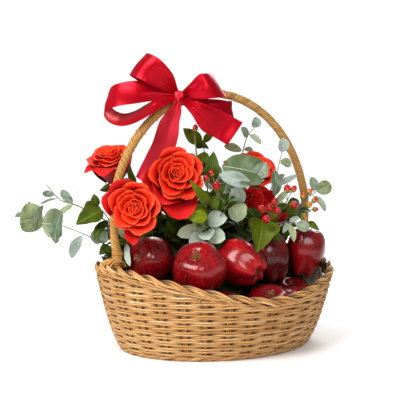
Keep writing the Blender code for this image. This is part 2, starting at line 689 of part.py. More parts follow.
def bow_knot():
    """Knot: a band round the handle and the gathered lump in front of it."""
    knot = shown(KNOT)
    x = KNOT_BAND
    rise = math.asin(min(1.0, math.sqrt(max(0.0, 1 - ((x - HANDLE_SHIFT) / HANDLE_HALF_SPAN) ** 2))))
    on_handle = Vector((x, 0.0, HANDLE_SPRING + (HANDLE_TOP - HANDLE_SPRING) * math.sin(rise)))
    slope = Vector((math.sin(rise) * HANDLE_HALF_SPAN, 0.0,
                    (HANDLE_TOP - HANDLE_SPRING) * math.cos(rise))).normalized()
    side, up, ahead = facing_axes(slope)
    inner, outer, half = HANDLE_RADIUS + 1.4, HANDLE_RADIUS + 3.6, 8.0
    rings = []
    for a in angles(10):
        out = side * math.cos(a) + up * math.sin(a)
        rings.append([on_handle + out * r + ahead * w for r, w in
                      ((inner, -half), (outer, -half), (outer, half), (inner, half))])
    band = new_object("bow_knot", skin(rings, closed=True), SATIN)
    side, up, ahead = facing_axes(shown((0.0, -1.0, 0.05)))
    rings = [[knot - ahead * 8.2]]
    for z, r in ((-5.4, 6.4), (0, 7.8), (5.5, 6.2)):
        rings.append([knot + ahead * z + side * (math.cos(a) * r) + up * (math.sin(a) * r * 1.2)
                      for a in angles(10)])
    rings.append([knot + ahead * 8])
    lump = new_object("lump", skin(rings), SATIN)
    return fuse("bow_knot", [band, lump])


def smooth_step(t):
    t = min(1.0, max(0.0, t))
    return t * t * (3 - 2 * t)


def heap_height(x, y):
    """Height of the heap at a plan point: low under the fruit, high behind it."""
    c, s = math.cos(DISPLAY_TURN), math.sin(DISPLAY_TURN)
    across, depth = c * x - s * y, s * x + c * y
    edge = min(1.0, (x / HEAP_HALF_LENGTH) ** 2 + (y / HEAP_HALF_WIDTH) ** 2)
    dome = HEAP_EDGE + (HEAP_TOP - HEAP_EDGE) * (1 - edge) ** 0.4
    front = -28 + 0.5 * across
    height = HEAP_BED + (dome - HEAP_BED) * smooth_step((depth - front + 25) / 50)
    for place, stem_end, diameter, tall in APPLES.values():
        centre = shown(place)
        radius = max(diameter, tall) / 2 + HEAP_MARGIN
        near = math.hypot(x - centre.x, y - centre.y)
        if near < radius:
            height = min(height, centre.z - math.sqrt(radius ** 2 - near ** 2))
        else:
            height = min(height, centre.z + HEAP_BANK * (near - radius))
    return max(height, FLOOR + 10)


def keep_outs():
    """Spheres that the heap's leaves stay clear of: fruit, flowers, sprigs and handle legs."""
    spheres = [(shown(p), max(d, h) / 2 + 10) for p, s, d, h in APPLES.values()]
    for place, facing, radius, depth, guards in ROSES.values():
        ahead = shown(facing).normalized()
        spheres.append((shown(place) - ahead * (0.3 * depth), radius + 8))
        spheres.append((shown(place) - ahead * depth, 14))
    for stem_points, leaves in list(EUCALYPTUS.values()) + list(LEAFY.values()):
        spheres += [(shown(p), 10) for p in stem_points]
        spheres += [(shown(tip), width / 2 + 4) for share, tip, width in leaves]
        middle = [(shown(tip) + shown(stem_points[-1])) / 2 for share, tip, width in leaves]
        spheres += [(p, 10) for p in middle]
    for stem_points, berries in BERRIES.values():
        spheres += [(shown(p), 12) for p in stem_points]
        spheres += [(shown(p), diameter) for p, diameter in berries]
    for side in (-1, 1):
        spheres += [(Vector((side * FOOT_HALF_SPAN, 0.0, z)), 14) for z in range(90, 230, 12)]
    return spheres


def greenery():
    """Heap of greenery, with leaves that stand out of it fused on."""
    around = angles(26)
    shares = (0.99, 0.87, 0.76, 0.62, 0.46, 0.27)

    def plan(a, share):
        return HEAP_HALF_LENGTH * share * math.cos(a), HEAP_HALF_WIDTH * share * math.sin(a)

    def low(a, share, z):
        x, y = plan(a, share)
        return Vector((x, y, z))

    rings = [[low(a, 0.86, FLOOR + GAP) for a in around]]
    rings.append([low(a, 0.97, FLOOR + 12) for a in around])
    for share in shares:
        rings.append([low(a, share, heap_height(*plan(a, share))) for a in around])
    rings.append([Vector((0.0, 0.0, heap_height(0.0, 0.0)))])
    heap_bm = skin(rings)
    surface = BVHTree.FromBMesh(heap_bm)
    pieces = [new_object("greenery", heap_bm, GREENERY)]
    spheres = keep_outs()
    draw = np.random.default_rng(11)
    golden = math.pi * (3 - math.sqrt(5))
    for i in range(HEAP_LEAVES):
        share = math.sqrt((i + 0.5) / HEAP_LEAVES) * 0.95
        x, y = plan(i * golden, share)
        foot = Vector((x, y, heap_height(x, y)))
        if foot.z < HEAP_EDGE - 4:
            continue
        hit, normal, index, distance = surface.ray_cast(Vector((x, y, 400.0)), Vector((0.0, 0.0, -1.0)))
        if hit is None:
            continue
        out = Vector((x, y, 0.0)).normalized()
        rise = Vector((0.0, 0.0, 1.0))
        swing = Vector((-out.y, out.x, 0.0)) * draw.uniform(-0.7, 0.7)
        way = (out * draw.uniform(0.5, 1.0) + rise * draw.uniform(0.3, 0.8) + swing).normalized()
        length = draw.uniform(34, 48)
        base = hit - way * 5
        tip = base + way * length
        samples = [base + way * (length * s) for s in (0.3, 0.55, 0.8, 1.0)]
        if any((p - centre).length < reach for p in samples for centre, reach in spheres):
            continue
        blade = leaf(base, tip, length * 0.58, out + rise, "pointed", fold=0.25, bend=0.12)
        pieces.append(new_object("leaf", blade, GREENERY))
    return fuse("greenery", pieces)


def build():
    for old in list(bpy.data.objects):
        bpy.data.objects.remove(old)
    basket_body()
    basket_rim()
    handle()
    liner()
    heap_object = greenery()
    heap_bm = bmesh.new()
    heap_bm.from_mesh(heap_object.data)
    bmesh.ops.scale(heap_bm, vec=(1 / MM, 1 / MM, 1 / MM), verts=heap_bm.verts)
    heap = BVHTree.FromBMesh(heap_bm)
    heap_bm.free()
    for name, (place, stem_end, diameter, height) in APPLES.items():
        apple(name, place, stem_end, diameter, height)
    for name, (place, facing, radius, depth, guards) in ROSES.items():
        rose(name, place, facing, radius, depth, guards, heap)
    for name, (stem_points, leaves) in EUCALYPTUS.items():
        sprig(name, stem_points, leaves, "round", SILVER_LEAF, heap)
    for name, (stem_points, leaves) in LEAFY.items():
        sprig(name, stem_points, leaves, "pointed", GREEN_LEAF, heap)
    for name, (stem_points, berries) in BERRIES.items():
        berry_sprig(name, stem_points, berries, heap)
    bow_knot()
    for name, rows in list(LOOPS.items()) + list(TAILS.items()):
        ribbon(name, rows)


build()
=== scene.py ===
# %% [markdown]
# # A gift basket of apples and roses
#
# The basket is woven from willow rods, with a braided border and a tall arched handle wound with
# cane. A crimson satin bow is tied round the top of the handle. Red apples lie at the front, and
# roses, eucalyptus, leafy sprigs and small berries stand in a heap of greenery behind them.
#
# The solids of the basket are loaded first and stay where they are. Each piece made here takes the
# place of one of them and gives it its real surface. Lengths are in millimetres in the tables and
# turned to metres where a mesh is made.

# %% Load the solids
import math

import bmesh
import bpy
import numpy as np
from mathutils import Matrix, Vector
from mathutils.bvhtree import BVHTree


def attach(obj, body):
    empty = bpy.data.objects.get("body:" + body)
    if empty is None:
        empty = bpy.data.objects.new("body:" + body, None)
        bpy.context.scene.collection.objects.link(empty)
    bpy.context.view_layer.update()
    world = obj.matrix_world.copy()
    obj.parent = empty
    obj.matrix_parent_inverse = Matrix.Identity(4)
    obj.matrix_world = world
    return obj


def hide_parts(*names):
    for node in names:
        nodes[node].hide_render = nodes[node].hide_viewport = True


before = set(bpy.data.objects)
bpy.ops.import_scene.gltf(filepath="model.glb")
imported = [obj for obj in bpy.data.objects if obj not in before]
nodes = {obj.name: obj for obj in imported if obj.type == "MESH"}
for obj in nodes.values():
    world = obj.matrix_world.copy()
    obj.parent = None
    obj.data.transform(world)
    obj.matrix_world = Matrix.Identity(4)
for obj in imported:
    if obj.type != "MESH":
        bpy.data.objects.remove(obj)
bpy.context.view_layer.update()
MM = 0.001

# %% [markdown]
# The basket stands turned to the viewer, with its left foot nearer. The flowers and fruit were laid
# out for that viewer, so their tables give places as (across, depth, height) from there, and one
# function turns them to the basket's own axes.

# %% From the viewer's axes to the basket's
DISPLAY_TURN = math.radians(31.3)


def shown(place):
    """Point or direction as the viewer sees it, in the basket's own axes."""
    across, depth, height = place
    c, s = math.cos(DISPLAY_TURN), math.sin(DISPLAY_TURN)
    return Vector((c * across + s * depth, -s * across + c * depth, height))


print("the viewer looks along", [round(c, 2) for c in shown((0, 1, 0))])

# %% [markdown]
# Colours are read off a paint card as sRGB hex values, and the shader wants linear light, so one
# function turns them. Another adds a shader node of any kind, with its settings, its inputs and, for
# a colour ramp, its stops, and gives back the output that the next node reads.

# %% Colour and node helpers
# a Mix node of colours takes its factor at socket 0 and its two colours at 6 and 7, and a Map Range
# node takes its value, then the two ends that it comes from, then the two that it goes to
COLOUR_MIX = {"output": 2, "data_type": "RGBA"}


def paint(code):
    """Linear colour of an sRGB hex value."""
    parts = [int(code[i:i + 2], 16) / 255 for i in (1, 3, 5)]
    return (*[p / 12.92 if p <= 0.04045 else ((p + 0.055) / 1.055) ** 2.4 for p in parts], 1.0)


def add_node(tree, kind, inputs=(), output=0, stops=(), **settings):
    """Add a node and return one output. Inputs are plain values or outputs, in order or by name."""
    made = tree.nodes.new("ShaderNode" + kind)
    for key, value in settings.items():
        setattr(made, key, value)
    for socket, value in inputs.items() if isinstance(inputs, dict) else enumerate(inputs):
        if isinstance(value, bpy.types.NodeSocket):
            tree.links.new(value, made.inputs[socket])
        else:
            made.inputs[socket].default_value = value
    if stops:
        elements = made.color_ramp.elements
        while len(elements) < len(stops):
            elements.new(0.5)
        for element, (place, code) in zip(elements, stops):
            element.position = place
            element.color = paint(code)
    return made.outputs[output]


def new_material(name, roughness, ior=1.45, **constants):
    """Material with its shader's plain numbers set. Returns it with its tree and shader."""
    made = bpy.data.materials.new(name)
    made.use_nodes = True
    shader = made.node_tree.nodes["Principled BSDF"]
    shader.inputs["Roughness"].default_value = roughness
    shader.inputs["IOR"].default_value = ior
    for key, value in constants.items():
        shader.inputs[key.replace("_", " ")].default_value = value
    return made, made.node_tree, shader


def mapped(tree, source, scale, kind="TexNoise", **inputs):
    """First output of a texture over a vector that is stretched by scale first."""
    stretched = add_node(tree, "Mapping", {"Vector": source, "Scale": scale})
    return add_node(tree, kind, {"Vector": stretched, "Scale": 1.0, **inputs})


def grain_of(tree):
    """A piece's own coordinates: their vector, its three parts, and the piece's tone."""
    grain = add_node(tree, "Attribute", output="Vector", attribute_name="grain")
    parts = add_node(tree, "SeparateXYZ", (grain,)).node.outputs
    tone = add_node(tree, "Attribute", output="Fac", attribute_name="tone")
    return grain, parts, tone


def surface(tree, shader, colour, relief=None, depth_mm=0.0, strength=1.0):
    """Link a colour to a shader, and a relief of a given depth."""
    tree.links.new(colour, shader.inputs["Base Color"])
    if relief is not None:
        raised = add_node(tree, "Bump", {"Height": relief, "Distance": depth_mm * MM, "Strength": strength})
        tree.links.new(raised, shader.inputs["Normal"])


print("honey willow is", [round(c, 3) for c in paint("#CF9A58")[:3]])

# %% [markdown]
# ## Willow and cane
#
# Peeled willow is a pale wood that age and varnish turn honey brown. Each rod has its own shade and
# a grain that runs along it. Where a rod dives behind its neighbours, the colour also darkens with
# depth in the weave: this is painted shade. Every rod carries its own coordinates: metres along it,
# place round it, and a number that differs from rod to rod.

# %% Willow and cane materials


def wood(name, stops, painted_shade_colour, roughness, streak_mm, relief_mm):
    """Wood of thin rods: streaks along the rod, and painted shade that darkens it where it lies deep."""
    made, tree, shader = new_material(name, roughness, 1.5)
    grain, parts, tone = grain_of(tree)
    per_metre = 1000 / streak_mm
    streaks = mapped(tree, grain, (per_metre * 0.12, 5.0, 3.7), Detail=6.0, Roughness=0.65)
    rod_shade = mapped(tree, grain, (2.0, 0.2, 11.3), Detail=1.0)
    place = add_node(tree, "Math", (rod_shade, 0.9, -0.45), operation="MULTIPLY_ADD")
    place = add_node(tree, "Math", (streaks, place), operation="ADD", use_clamp=True)
    bare = add_node(tree, "ValToRGB", (place,), stops=stops)
    # tone 1 is bare wood and tone 0 the painted shade colour of wood that lies deep
    colour = add_node(tree, "Mix", {0: tone, 6: paint(painted_shade_colour), 7: bare}, **COLOUR_MIX)
    fibres = mapped(tree, grain, (per_metre * 0.3, 22.0, 5.1), Detail=3.0)
    surface(tree, shader, colour, fibres, relief_mm)
    return made


willow = wood("peeled_willow", [(0.2, "#9E6632"), (0.4, "#C78E4C"), (0.58, "#DBAA6D"), (0.8, "#EFCE9C")],
              painted_shade_colour="#2E1608", roughness=0.55, streak_mm=3.0, relief_mm=0.3)
cane = wood("split_cane", [(0.22, "#A56C2C"), (0.45, "#CC9446"), (0.65, "#DDAE66"), (0.85, "#EBCB90")],
            painted_shade_colour="#5A3614", roughness=0.5, streak_mm=4.0, relief_mm=0.25)
print("wood finishes:", willow.name, cane.name)

# %% [markdown]
# ## Fruit, petals and leaves
#
# A dark red dessert apple has a waxed, glossy skin. Fine streaks run from the stem to the blossom
# end over a deep crimson ground, small pale specks are scattered on it, and the hollow of the stem is
# russet. Its coordinates are those of the fruit itself, with the core along Z and a radius of one, so
# that streaks follow the fruit whichever way it lies. Its tone says how bright an apple is.

# %% Skin of the apples
apple_skin, tree, shader = new_material("waxed_apple_skin", roughness=0.34, ior=1.32, Coat_Weight=0.75,
                                        Coat_Roughness=0.17, Specular_Tint=paint("#FF9A94"))
grain, parts, tone = grain_of(tree)
streaks = mapped(tree, grain, (9.0, 9.0, 0.7), Detail=5.0, Roughness=0.7)
blush = mapped(tree, grain, (1.1, 1.1, 0.9), Detail=1.0)
place = add_node(tree, "Math", (tone, 0.42, -0.1), operation="MULTIPLY_ADD")
place = add_node(tree, "Math", (blush, 0.6, place), operation="MULTIPLY_ADD")
place = add_node(tree, "Math", (streaks, 0.45, place), operation="MULTIPLY_ADD")
place = add_node(tree, "Math", (place, 0.2), operation="SUBTRACT", use_clamp=True)
skin_colour = add_node(tree, "ValToRGB", (place,), stops=[
    (0.1, "#2A0206"), (0.32, "#58020A"), (0.52, "#8C0610"), (0.7, "#BA0A12"), (0.9, "#D62A1C")])
print("reds of the skin:", len(skin_colour.node.color_ramp.elements))

# %% Specks and russet
specks = mapped(tree, grain, (13.0, 13.0, 13.0), "TexVoronoi", Randomness=1.0)
dots = add_node(tree, "Math", (specks, 0.14), operation="LESS_THAN")
dots = add_node(tree, "Math", (dots, 0.65), operation="MULTIPLY")
skin_colour = add_node(tree, "Mix", {0: dots, 6: skin_colour, 7: paint("#E08A62")}, **COLOUR_MIX)
from_core = [add_node(tree, "Math", (part, 2.0), operation="POWER") for part in parts[:2]]
from_core = add_node(tree, "Math", from_core, operation="ADD")
ragged = add_node(tree, "Math", (streaks, 0.1, -0.05), operation="MULTIPLY_ADD")
ragged = add_node(tree, "Math", (from_core, ragged), operation="ADD")
hollow = add_node(tree, "MapRange", (ragged, 0.045, -0.01, 0.0, 0.8))
stem_end = add_node(tree, "Math", (parts[2], 0.0), operation="GREATER_THAN")
russet = add_node(tree, "Math", (hollow, stem_end), operation="MULTIPLY")
skin_colour = add_node(tree, "Mix", {0: russet, 6: skin_colour, 7: paint("#A07A3E")}, **COLOUR_MIX)
pores = mapped(tree, grain, (26.0, 26.0, 26.0), Detail=2.0)
surface(tree, shader, skin_colour, pores, depth_mm=0.12, strength=0.5)
print("skin finish:", apple_skin.name)

# %% [markdown]
# A rose petal is soft and velvety and lets a little light through. This rose is orange at the rim of
# each petal, redder towards the foot and on the back, and its oldest outer petals are a deep crimson.
# A petal's coordinates are its place across, its place from foot to rim, and its own number. Tone 1
# is a fresh petal and tone 0 an outer one.

# %% Petals
petal_skin, tree, shader = new_material("rose_petal", roughness=0.62, ior=1.3,
                                        Subsurface_Weight=0.08, Subsurface_Scale=0.002)
grain, parts, tone = grain_of(tree)
veins = mapped(tree, grain, (14.0, 1.6, 4.0), Detail=3.0)
place = add_node(tree, "Math", (veins, 0.3, -0.15), operation="MULTIPLY_ADD")
place = add_node(tree, "Math", (place, parts[1]), operation="ADD")
fresh = add_node(tree, "ValToRGB", (place,), stops=[
    (0.1, "#C01810"), (0.5, "#D4120A"), (0.74, "#EA1E08"), (0.92, "#F83A12"), (1.0, "#FF6234")])
old = add_node(tree, "ValToRGB", (place,), stops=[(0.1, "#74020A"), (0.55, "#AC040E"), (0.9, "#D00A14")])
petal_colour = add_node(tree, "Mix", {0: tone, 6: old, 7: fresh}, **COLOUR_MIX)
surface(tree, shader, petal_colour, veins, depth_mm=0.35, strength=0.6)
print("petal finish:", petal_skin.name)

# %% [markdown]
# Leaves differ in their wax. Eucalyptus has a powdery bloom that turns green into a matt blue-grey,
# with a pale rib and rim. Rose and ivy leaves are darker and smoother, with light ribs and side
# veins. One function paints both: tone picks a shade between two pairs of colours, and the veins are
# lines over the leaf's own coordinates, which run from -1 to 1 across it and from 0 to 1 along it.

# %% Leaves


def leaf_finish(name, dark, light, rib, roughness, rib_wide, vein_strength, shine="#FFFFFF"):
    """Leaf surface between dark and light shades, each a warm and a cool one, with its veins."""
    made, tree, shader = new_material(name, roughness, 1.36, Specular_Tint=paint(shine))
    grain, parts, tone = grain_of(tree)
    mottle = mapped(tree, grain, (1.6, 3.2, 5.3), Detail=4.0)
    spread = add_node(tree, "Math", (mottle, 1.0, -0.5), operation="MULTIPLY_ADD")
    shade = add_node(tree, "Math", (tone, spread), operation="ADD", use_clamp=True)
    hue = add_node(tree, "Math", (parts[2], 0.377), operation="MULTIPLY")
    hue = add_node(tree, "Math", (hue,), operation="FRACT")
    low, high = [add_node(tree, "Mix", {0: hue, 6: paint(warm), 7: paint(cool)}, **COLOUR_MIX)
                 for warm, cool in (dark, light)]
    colour = add_node(tree, "Mix", {0: shade, 6: low, 7: high}, **COLOUR_MIX)
    side = add_node(tree, "Math", (parts[0],), operation="ABSOLUTE")
    along = add_node(tree, "Math", (parts[1], 7.0), operation="MULTIPLY")
    across = add_node(tree, "Math", (side, 1.6), operation="MULTIPLY")
    slant = add_node(tree, "Math", (along, across), operation="SUBTRACT")
    slant = add_node(tree, "Math", (slant,), operation="FRACT")
    wave = add_node(tree, "Math", (slant, 0.5), operation="SUBTRACT")
    wave = add_node(tree, "Math", (wave,), operation="ABSOLUTE")
    vein = add_node(tree, "MapRange", (wave, 0.07, 0.0, 0.0, vein_strength))
    midrib = add_node(tree, "MapRange", (side, rib_wide, rib_wide * 0.3, 0.0, 0.8))
    for line in (vein, midrib):
        colour = add_node(tree, "Mix", {0: line, 6: colour, 7: paint(rib)}, **COLOUR_MIX)
    relief = add_node(tree, "Math", (vein, midrib), operation="ADD")
    relief = add_node(tree, "Math", (relief, -1.0), operation="MULTIPLY")
    surface(tree, shader, colour, relief, depth_mm=0.3, strength=0.7)
    return made


silver_leaf = leaf_finish("powdery_eucalyptus_leaf", ("#566838", "#4E6252"), ("#BEC898", "#C4D2CA"),
                          rib="#CCD8B4", roughness=0.62, rib_wide=0.03, vein_strength=0.06)
green_leaf = leaf_finish("glossy_green_leaf", ("#1E2A04", "#102006"), ("#707C0A", "#3A5A0E"),
                         rib="#6E8A2A", roughness=0.45, rib_wide=0.03, vein_strength=0.12, shine="#D8E8A0")
print("leaf finishes:", silver_leaf.name, green_leaf.name)

# %% [markdown]
# Stems have a dull bark, brown at tone 0 and grey-green at tone 1. Berries are glossy and ripen from
# yellow-green to red, and the sepals that hold them are plain green.

# %% Stems, berries and sepals
stem_bark, tree, shader = new_material("green_bark", roughness=0.6)
grain, parts, tone = grain_of(tree)
knots = mapped(tree, grain, (90.0, 3.0, 2.0), Detail=3.0)
brown = add_node(tree, "ValToRGB", (knots,), stops=[(0.3, "#3E2A16"), (0.55, "#5E4A28"), (0.75, "#7A6A40")])
grey = add_node(tree, "ValToRGB", (knots,), stops=[(0.3, "#6E6C5E"), (0.55, "#8C9078"), (0.75, "#A5AA92")])
bark_colour = add_node(tree, "Mix", {0: tone, 6: brown, 7: grey}, **COLOUR_MIX)
surface(tree, shader, bark_colour, knots, depth_mm=0.3)

berry_skin, tree, shader = new_material("glossy_berry_skin", roughness=0.22, ior=1.4,
                                        Coat_Weight=0.25, Coat_Roughness=0.08)
grain, parts, tone = grain_of(tree)
patches = mapped(tree, grain, (1.5, 1.5, 1.5), Detail=1.0)
place = add_node(tree, "Math", (patches, 0.5, -0.25), operation="MULTIPLY_ADD")
towards_tip = add_node(tree, "Math", (parts[2], 0.12, tone), operation="MULTIPLY_ADD")
place = add_node(tree, "Math", (place, towards_tip), operation="ADD", use_clamp=True)
ripe = add_node(tree, "ValToRGB", (place,), stops=[
    (0.08, "#A9B43A"), (0.35, "#E2A04A"), (0.55, "#D03020"), (0.8, "#B00A16"), (0.97, "#860610")])
surface(tree, shader, ripe)

sepal_green, tree, shader = new_material("green_sepal", roughness=0.5)
grain, parts, tone = grain_of(tree)
sepal_shade = add_node(tree, "Mix", {0: tone, 6: paint("#33501A"), 7: paint("#A8B83C")}, **COLOUR_MIX)
surface(tree, shader, sepal_shade)
print("small finishes:", stem_bark.name, berry_skin.name, sepal_green.name)

# %% [markdown]
# Satin is woven so that one set of threads floats on top. That gives it a soft shine with the
# colour of the silk in it, so its reflection is tinted and partly metallic. Tone 1 paints a stretch
# paler, as painted light, on the knot and on the hanging tail where the loops shade it. The liner is
# plain cream paper, matt, with fibres.

# %% Satin and paper
satin, tree, shader = new_material("crimson_satin", roughness=0.3, ior=1.5, Metallic=0.4,
                                   Specular_Tint=paint("#FF8086"),
                                   Subsurface_Weight=0.3, Subsurface_Scale=0.0015)
grain, parts, tone = grain_of(tree)
# the weave of satin is a tenth of a millimetre, so it is drawn three times as coarse to show at all
threads = mapped(tree, grain, (1500.0, 1500.0, 1.0), Detail=0.0)
lustre = mapped(tree, grain, (14.0, 14.0, 1.0), Detail=1.0)
silk = add_node(tree, "ValToRGB", (lustre,), stops=[(0.3, "#A60418"), (0.7, "#C20A22")])
# tone paints the satin paler, towards a light red: painted light
painted_light = add_node(tree, "Math", (tone, 0.6), operation="MULTIPLY")
silk = add_node(tree, "Mix", {0: painted_light, 6: silk, 7: paint("#E83A4C")}, **COLOUR_MIX)
surface(tree, shader, silk, threads, depth_mm=0.03, strength=0.1)

paper, tree, shader = new_material("cream_paper", roughness=0.7)
fibre = mapped(tree, add_node(tree, "TexCoord", output="Object"), (180.0, 180.0, 180.0), Detail=4.0)
sheet_colour = add_node(tree, "ValToRGB", (fibre,), stops=[(0.3, "#F4E6CC"), (0.7, "#FFF8EA")])
surface(tree, shader, sheet_colour, fibre, depth_mm=0.2)
print("sheet finishes:", satin.name, paper.name)

# %% [markdown]
# ## Ways of shaping
#
# A woven rod, a wound cane and a ribbon all follow a line that a formula gives, so they are laid as
# rows of points with skin between them, and many of them go into one mesh. The class gathers such
# rows and keeps for every point the coordinates and the tone that the materials read. What has a
# form of its own, such as a leaf, a petal, an apple or a berry, starts from a primitive that is
# shaped once and then copied.

# %% Rows of points to a mesh


class Skins:
    """Gathers rows of points and makes one mesh of them."""

    def __init__(self):
        self.points = []
        self.faces = []
        self.grain = []
        self.tone = []
        self.slots = []

    def add(self, rows, tones, grains, around=True, loop=False, slot=0):
        """Skin over rows of equal length. around closes each row, loop closes the whole."""
        start = len(self.points)
        count, wide = len(rows), len(rows[0])
        for row, tone_row, grain_row in zip(rows, tones, grains):
            self.points += [tuple(c * MM for c in p) for p in row]
            self.tone += list(tone_row)
            self.grain += list(grain_row)
        for i in range(count if loop else count - 1):
            below, above = start + i * wide, start + ((i + 1) % count) * wide
            for k in range(wide if around else wide - 1):
                n = (k + 1) % wide
                self.faces.append((below + k, below + n, above + n, above + k))
                self.slots.append(slot)
        if around and not loop:
            last = start + (count - 1) * wide
            self.faces.append(tuple(range(start + wide - 1, start - 1, -1)))
            self.faces.append(tuple(range(last, last + wide)))
            self.slots += [slot, slot]

    def rod(self, line, radii, number, tones, sides=6, loop=False, slot=0):
        """Round bar along a line of points. number shifts its grain, so that no two rods match."""
        count = len(line)
        rows, tone_rows, grain_rows = [], [], []
        lean, last, run = None, None, 0.0
        for i, point in enumerate(line):
            before = line[i - 1] if i or loop else line[0]
            after = line[(i + 1) % count] if i < count - 1 or loop else line[-1]
            ahead = (after - before).normalized()
            if lean is None:
                lean = Vector((0, 0, 1)) if abs(ahead.z) < 0.8 else Vector((1, 0, 0))
            lean = (lean - ahead * lean.dot(ahead)).normalized()
            side = ahead.cross(lean)
            run += (point - last).length if last is not None else 0.0
            last = point
            radius = radii[i] if hasattr(radii, "__len__") else radii
            row = []
            for k in range(sides):
                a = 2 * math.pi * k / sides
                row.append(point + side * (radius * math.cos(a)) + lean * (radius * math.sin(a)))
            rows.append(row)
            tone_rows.append([tones[i]] * sides)
            grain_rows.append([(run * MM, k / sides, number) for k in range(sides)])
        self.add(rows, tone_rows, grain_rows, loop=loop, slot=slot)

    def lay(self, blank, at, tone, number):
        """A copy of a flat blank, each of its points (u, v) carried to at(u, v)."""
        start = len(self.points)
        for u, v in blank[0]:
            self.points.append(tuple(c * MM for c in at(u, v)))
            self.grain.append((u, v, number))
            self.tone.append(tone)
        for face in blank[1]:
            self.faces.append(tuple(start + k for k in face))
            self.slots.append(0)

    def piece(self, name, *materials):
        """The mesh object of all that was gathered, with its faces turned outwards."""
        mesh = bpy.data.meshes.new(name)
        mesh.from_pydata(self.points, [], self.faces)
        for finish in materials:
            mesh.materials.append(finish)
        mesh.polygons.foreach_set("material_index", self.slots)
        work = bmesh.new()
        work.from_mesh(mesh)
        bmesh.ops.recalc_face_normals(work, faces=work.faces)
        work.to_mesh(mesh)
        work.free()
        write_grain(mesh, self.grain, self.tone)
        made = bpy.data.objects.new(name, mesh)
        bpy.context.scene.collection.objects.link(made)
        mesh.shade_smooth()
        return made


def write_grain(mesh, grain, tone):
    """Store the coordinates and tones that the materials read."""
    for label, kind, key, values in (("grain", "FLOAT_VECTOR", "vector", grain),
                                     ("tone", "FLOAT", "value", tone)):
        held = mesh.attributes.new(label, kind, "POINT")
        held.data.foreach_set(key, np.asarray(values, dtype=np.float32).ravel())


sample = Skins()
sample.rod([Vector((0, 0, height)) for height in (0, 10, 20)], 1.0, 0, [1.0] * 3)
print("a rod through three points has", len(sample.faces), "faces")

# %% [markdown]
# A finished piece is tied to the basket's body and hides the solids that it stands for. A few more
# helpers smooth a line, join meshes and give a sheet its thickness. What varies from rod to rod and
# from leaf to leaf is drawn from one row of random numbers, which is the same at each run.

# %% Finishing a piece


def keep(made, *stands_for, slot):
    """A finished piece: it rides on the basket and takes the place of the named solids."""
    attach(made, "root")
    if stands_for:
        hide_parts(*stands_for)
    print(f"{made.name}: {len(made.data.polygons)} faces, for {', '.join(stands_for) or 'nothing'}")


def smooth_route(points, steps):
    """Points of a smooth curve through the given points."""
    ends = [points[0] * 2 - points[1]] + list(points) + [points[-1] * 2 - points[-2]]
    route = []
    for a, b, c, d in zip(ends, ends[1:], ends[2:], ends[3:]):
        for i in range(steps):
            t = i / steps
            route.append(0.5 * ((2 * b) + (c - a) * t + (2 * a - 5 * b + 4 * c - d) * t * t
                                + (3 * b - a - 3 * c + d) * t ** 3))
    route.append(points[-1].copy())
    return route


def only(piece):
    """Select one object alone and make it active."""
    bpy.ops.object.select_all(action="DESELECT")
    piece.select_set(True)
    bpy.context.view_layer.objects.active = piece


def join(name, pieces):
    """Join separate meshes into one piece."""
    only(pieces[0])
    for piece in pieces:
        piece.select_set(True)
    bpy.ops.object.join()
    pieces[0].name = pieces[0].data.name = name
    return pieces[0]


def thicken(piece, thick):
    """Give a sheet its thickness."""
    only(piece)
    wall = piece.modifiers.new("thickness", "SOLIDIFY")
    wall.thickness = thick * MM
    wall.offset = 0.0
    bpy.ops.object.modifier_apply(modifier="thickness")
    bpy.ops.object.shade_smooth_by_angle(angle=math.radians(50))
    return piece


draw = np.random.default_rng(5)
print("helpers ready; first random draw", round(float(draw.uniform()), 3))

# %% [markdown]
# ## The woven wall
#
# The wall flares from an oval base to an oval border that is high at the handle's feet and low
# between them. Upright stakes stand round it, seven thin sticks side by side at each place. Rods
# two at a time weave in front of one stake and behind the next, and the next two the other way. They
# lie outside for most of their way and dip behind a stake in a short bend, so the wall looks full,
# with small dark slits at the stakes. A rod is painted darker where it dips, and so are the outer
# sticks of a stake, as painted shade in the slits. Each rod keeps about one height, and ends where
# the border dips.

# %% Form of the wall
RIM_HALF_LENGTH, RIM_HALF_WIDTH = 175.0, 147.0
RIM_LEFT, RIM_RIGHT, RIM_MIDDLE, RIM_SADDLE = 118.0, 113.0, 78.0, 1.5
RIM_TALL = 9.5
BASE_HALF_LENGTH, BASE_HALF_WIDTH = 141.0, 111.0
WALL, FLARE = 7.0, 0.6           # thickness, and how soon the wall leans out
STAKES = 32
ROD_RADIUS = 1.46
ROD_PITCH = 2.4                 # height from one rod to the next
ROW_RODS = 2
WEAVE_SWING = 2.3               # how far a rod swings in and out
WEAVE_MIDDLE = 3.8              # middle of the weave, in from the wall's outer face
PAIR_SPREAD = 0.45              # how far each rod of a pair moves off the other between its dips
STICKS, STICK_RADIUS, STICK_PITCH = 7, 1.25, 2.6
# the outer sticks of a stake are painted dark, as painted shade in the slits beside them
STICK_PAINTED_SHADE = (0.8, 0.8, 0.2, 0.1)    # from the middle stick of a stake to its outer ones


def rim_centre(angle):
    """Middle of the braided border at an angle round the basket."""
    c, s = math.cos(angle), math.sin(angle)
    end = RIM_LEFT if c < 0 else RIM_RIGHT
    height = RIM_MIDDLE + (end - RIM_MIDDLE) * abs(c) ** RIM_SADDLE
    return Vector((RIM_HALF_LENGTH * c, RIM_HALF_WIDTH * s, height))


def wall_at(angle, height, inset):
    """Point of the wall at a height, in from its outer face."""
    c, s = math.cos(angle), math.sin(angle)
    share = min(1.0, max(0.0, height / (rim_centre(angle).z - RIM_TALL * 1.1)))
    flare = share ** FLARE
    x = c * (BASE_HALF_LENGTH + (RIM_HALF_LENGTH + WALL / 2 - BASE_HALF_LENGTH) * flare - inset)
    y = s * (BASE_HALF_WIDTH + (RIM_HALF_WIDTH + WALL / 2 - BASE_HALF_WIDTH) * flare - inset)
    return Vector((x, y, height))


